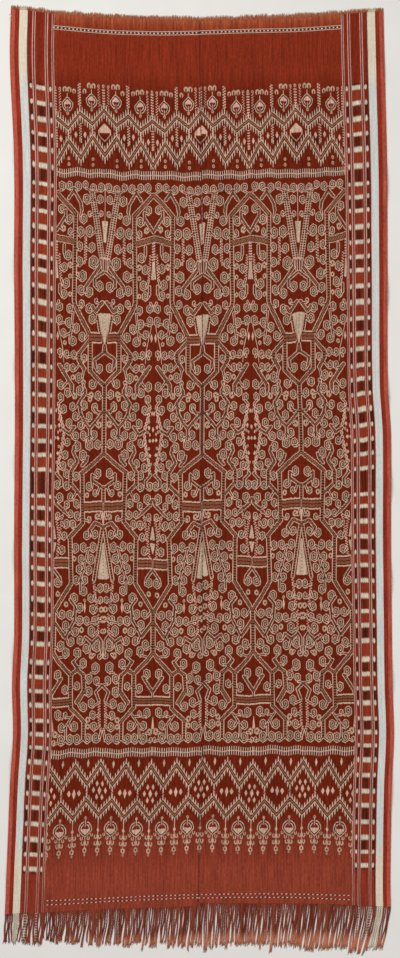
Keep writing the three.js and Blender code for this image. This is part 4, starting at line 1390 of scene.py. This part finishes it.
def loose_ends():
    """Two short ends of pale yarn that hang over the outer selvedge beside the heading row."""
    y = end_at("left", "heading", 0.0) + np.array([24.0, 14.5])
    edge = across_at("left", 0.0, y)
    t = np.linspace(0, 1, 5)
    x = edge[:, None] + 2.5 - 7.0 * t
    paths = np.stack([x, y[:, None] - 3.0 + 6.0 * t + 0.6 * np.sin(5 * t)], axis=-1)
    width = np.array([1.0, 2.2, 2.4, 2.2, 1.0])
    base = np.array([1.6, 1.55, 1.2, 0.5, 0.05])
    lots = np.array([(1.0, 0.2, 0.4), (1.0, 0.5, 0.7)])
    return cords(paths, width, width * 0.5, base, 5 * t, lots, 6)


def seam_stitches(finish):
    """Sewing that joins the panels: running stitches along the seam, each a little aslant."""
    low = end_at("left", "hem", 1.0) + SEAM_CLEAR
    high = end_at("left", "cut", 1.0) - FRAY_DEPTH - SEAM_CLEAR
    number = int((high - low) / SEAM_PITCH)
    index = np.arange(number)
    y = low + (high - low) * (index + 0.5) / number
    middles = np.stack([through(EDGES, "y", "seam", y), y], axis=-1)
    angles = math.pi / 2 - SEAM_SLANT + 0.3 * swing(index, 50)
    lengths = SEAM_STITCH + 1.8 * swing(index, 51)
    widths = np.full(number, SEAM_THREAD)
    heights = np.full(number, SEAM_RISE)
    lots = yarn_lots(0.15, index, 52)
    sets = [stitches(middles, angles, lengths, widths, heights, THICKNESS - SEAM_SINK, lots)]
    return lay_cords("seam_stitches", sets, finish, [])


def twist(finish, turned, fallen, pitch):
    """Height of a two-ply twist: a wave round the strand that climbs by one ply each half pitch."""
    return finish.math("SINE", (turned * 2 + fallen * (2 / pitch)) * (2 * math.pi)) * 0.5 + 0.5


def twisted_ends():
    """Twisted warp ends: rust brown, paler and brighter at the tips, white under the white stripe."""
    finish = Finish("twisted_warp_ends", Roughness=0.93, Specular_IOR_Level=0.05)
    turned, fallen = finish.map_place("strand")
    across, tone, other = finish.parts(finish.noted("strand_lot"))
    colour = mix(tone, FRINGE_BROWN, FRINGE_RUST)
    white = band(across, *FRINGE_WHITE_PART, 0.002)
    lines = sum(band(across, *part, 0.002) for part in FRINGE_LINE_PARTS)
    colour = mix(white, colour, FRINGE_WHITE)
    speck = mask(((fallen / 7 + other) % 1.0) - 0.5, 0.2)
    colour = mix(lines * speck, colour, FRINGE_SPECK)
    tip = mask(fallen - 86 + other * 14, 26.0)
    colour = mix(tip * 0.85 * (1 - white), colour, FRINGE_TIP)
    pitch, depth = FRINGE_PLY
    ply = twist(finish, turned, fallen, pitch)
    colour = mix((1 - ply) * (0.55 - tip * 0.35), colour, FRINGE_SHADOW)
    finish.feed("Base Color", colour)
    finish.relief(ply, depth)
    return finish


def cut_ends():
    """Cut warp ends: sun-faded orange tan, paler at the tips."""
    finish = Finish("cut_warp_ends", Roughness=0.94, Specular_IOR_Level=0.05)
    turned, risen = finish.map_place("strand")
    across, tone, other = finish.parts(finish.noted("strand_lot"))
    colour = mix(tone, FRAY_RUST, FRAY_TAN)
    white = band(across, *FRAY_WHITE_PART, 0.003)
    colour = mix(white, colour, FRAY_WHITE)
    colour = mix(mask(risen - 7 - other * 4, 6.0) * 0.5, colour, FRAY_TIP)
    finish.feed("Base Color", colour)
    pitch, depth = FRAY_PLY
    finish.relief(twist(finish, turned, risen, pitch), depth)
    return finish


def twining_yarn(name, pale, dark):
    """Weft yarn in two dyes, with the ply showing as slanting relief."""
    finish = Finish(name, Roughness=0.9, Specular_IOR_Level=0.18, Sheen_Weight=0.06)
    turned, passed = finish.map_place("strand")
    light, tone = finish.parts(finish.noted("strand_lot"))[:2]
    colour = mix(mask(light - 0.5, 0.1), dark, pale)
    pitch, depth = WEFT_PLY
    ply = twist(finish, turned, passed, pitch)
    # Painted shade in the grooves between the plies, and a darker tone that differs at random from stitch to
    # stitch
    colour = mix((1 - ply) * 0.3 + tone * 0.15, colour, PLY_SHADOW)
    finish.feed("Base Color", colour)
    finish.relief(ply, depth)
    return finish


def floor_finish():
    """Plain pale floor with a faint mottle."""
    finish = Finish("pale_floor", Roughness=0.85, Specular_IOR_Level=0.1)
    x, y = finish.object_place()
    mottle = finish.noise(x * 9, y * 9, 3.0)
    finish.feed("Base Color", mix(mottle, FLOOR_GREY, FLOOR_PALE))
    return finish


def lay_floor():
    """A level square, well past the cloth, a hair below its underside."""
    mesh = bpy.data.meshes.new("floor")
    corners = [(FLOOR_HALF * x, FLOOR_HALF * y, -FLOOR_DROP) for x, y in [(-1, -1), (1, -1), (1, 1), (-1, 1)]]
    mesh.from_pydata(corners, [], [(0, 1, 2, 3)])
    mesh.materials.append(floor_finish().material)
    floor = bpy.data.objects.new("floor", mesh)
    bpy.context.scene.collection.objects.link(floor)


def hang_lamp(name, size, place, turn, power):
    """A square soft lamp."""
    lamp = bpy.data.lights.new(name, "AREA")
    lamp.shape = "SQUARE"
    lamp.size = size
    lamp.energy = power
    holder = bpy.data.objects.new(name, lamp)
    holder.location = place
    holder.rotation_euler = turn
    bpy.context.scene.collection.objects.link(holder)


def set_camera():
    """Straight above the cloth, so far that the frame's height takes in all of it."""
    camera = bpy.data.cameras.new("camera")
    camera.lens = LENS
    camera.clip_end = 100
    holder = bpy.data.objects.new("camera", camera)
    holder.location = (*FRAME_MIDDLE, FRAME_HEIGHT * LENS / SENSOR)
    bpy.context.scene.collection.objects.link(holder)
    bpy.context.scene.camera = holder


def light_room():
    """Even pale surroundings, one large soft lamp up and to the left, and a weaker one opposite."""
    world = bpy.data.worlds.new("studio")
    world.use_nodes = True
    background = world.node_tree.nodes["Background"]
    background.inputs["Color"].default_value = (1.0, 1.0, 1.0, 1.0)
    background.inputs["Strength"].default_value = SURROUND
    bpy.context.scene.world = world
    bpy.context.scene.view_settings.view_transform = "Standard"
    for lamp in LAMPS:
        hang_lamp(*lamp)


set_camera()
light_room()
lay_floor()
cloth = ikat_cloth()
ends = twisted_ends()
cuts = cut_ends()
weft = twining_yarn("twined_weft_yarn", WEFT_PALE, WEFT_DARK)
sewing = twining_yarn("sewing_thread", THREAD_PALE, THREAD_DARK)
chart = chart_notes()
seam = seam_stitches(sewing)
for side in SIDES_OF_CLOTH:
    laid = panel(side, cloth, chart)
    rows = [twined_row(side, row, weft) for row in ("heading", "high", "low")]
    worked = [fringe(side, ends), frayed_ends(side, cuts), *rows]
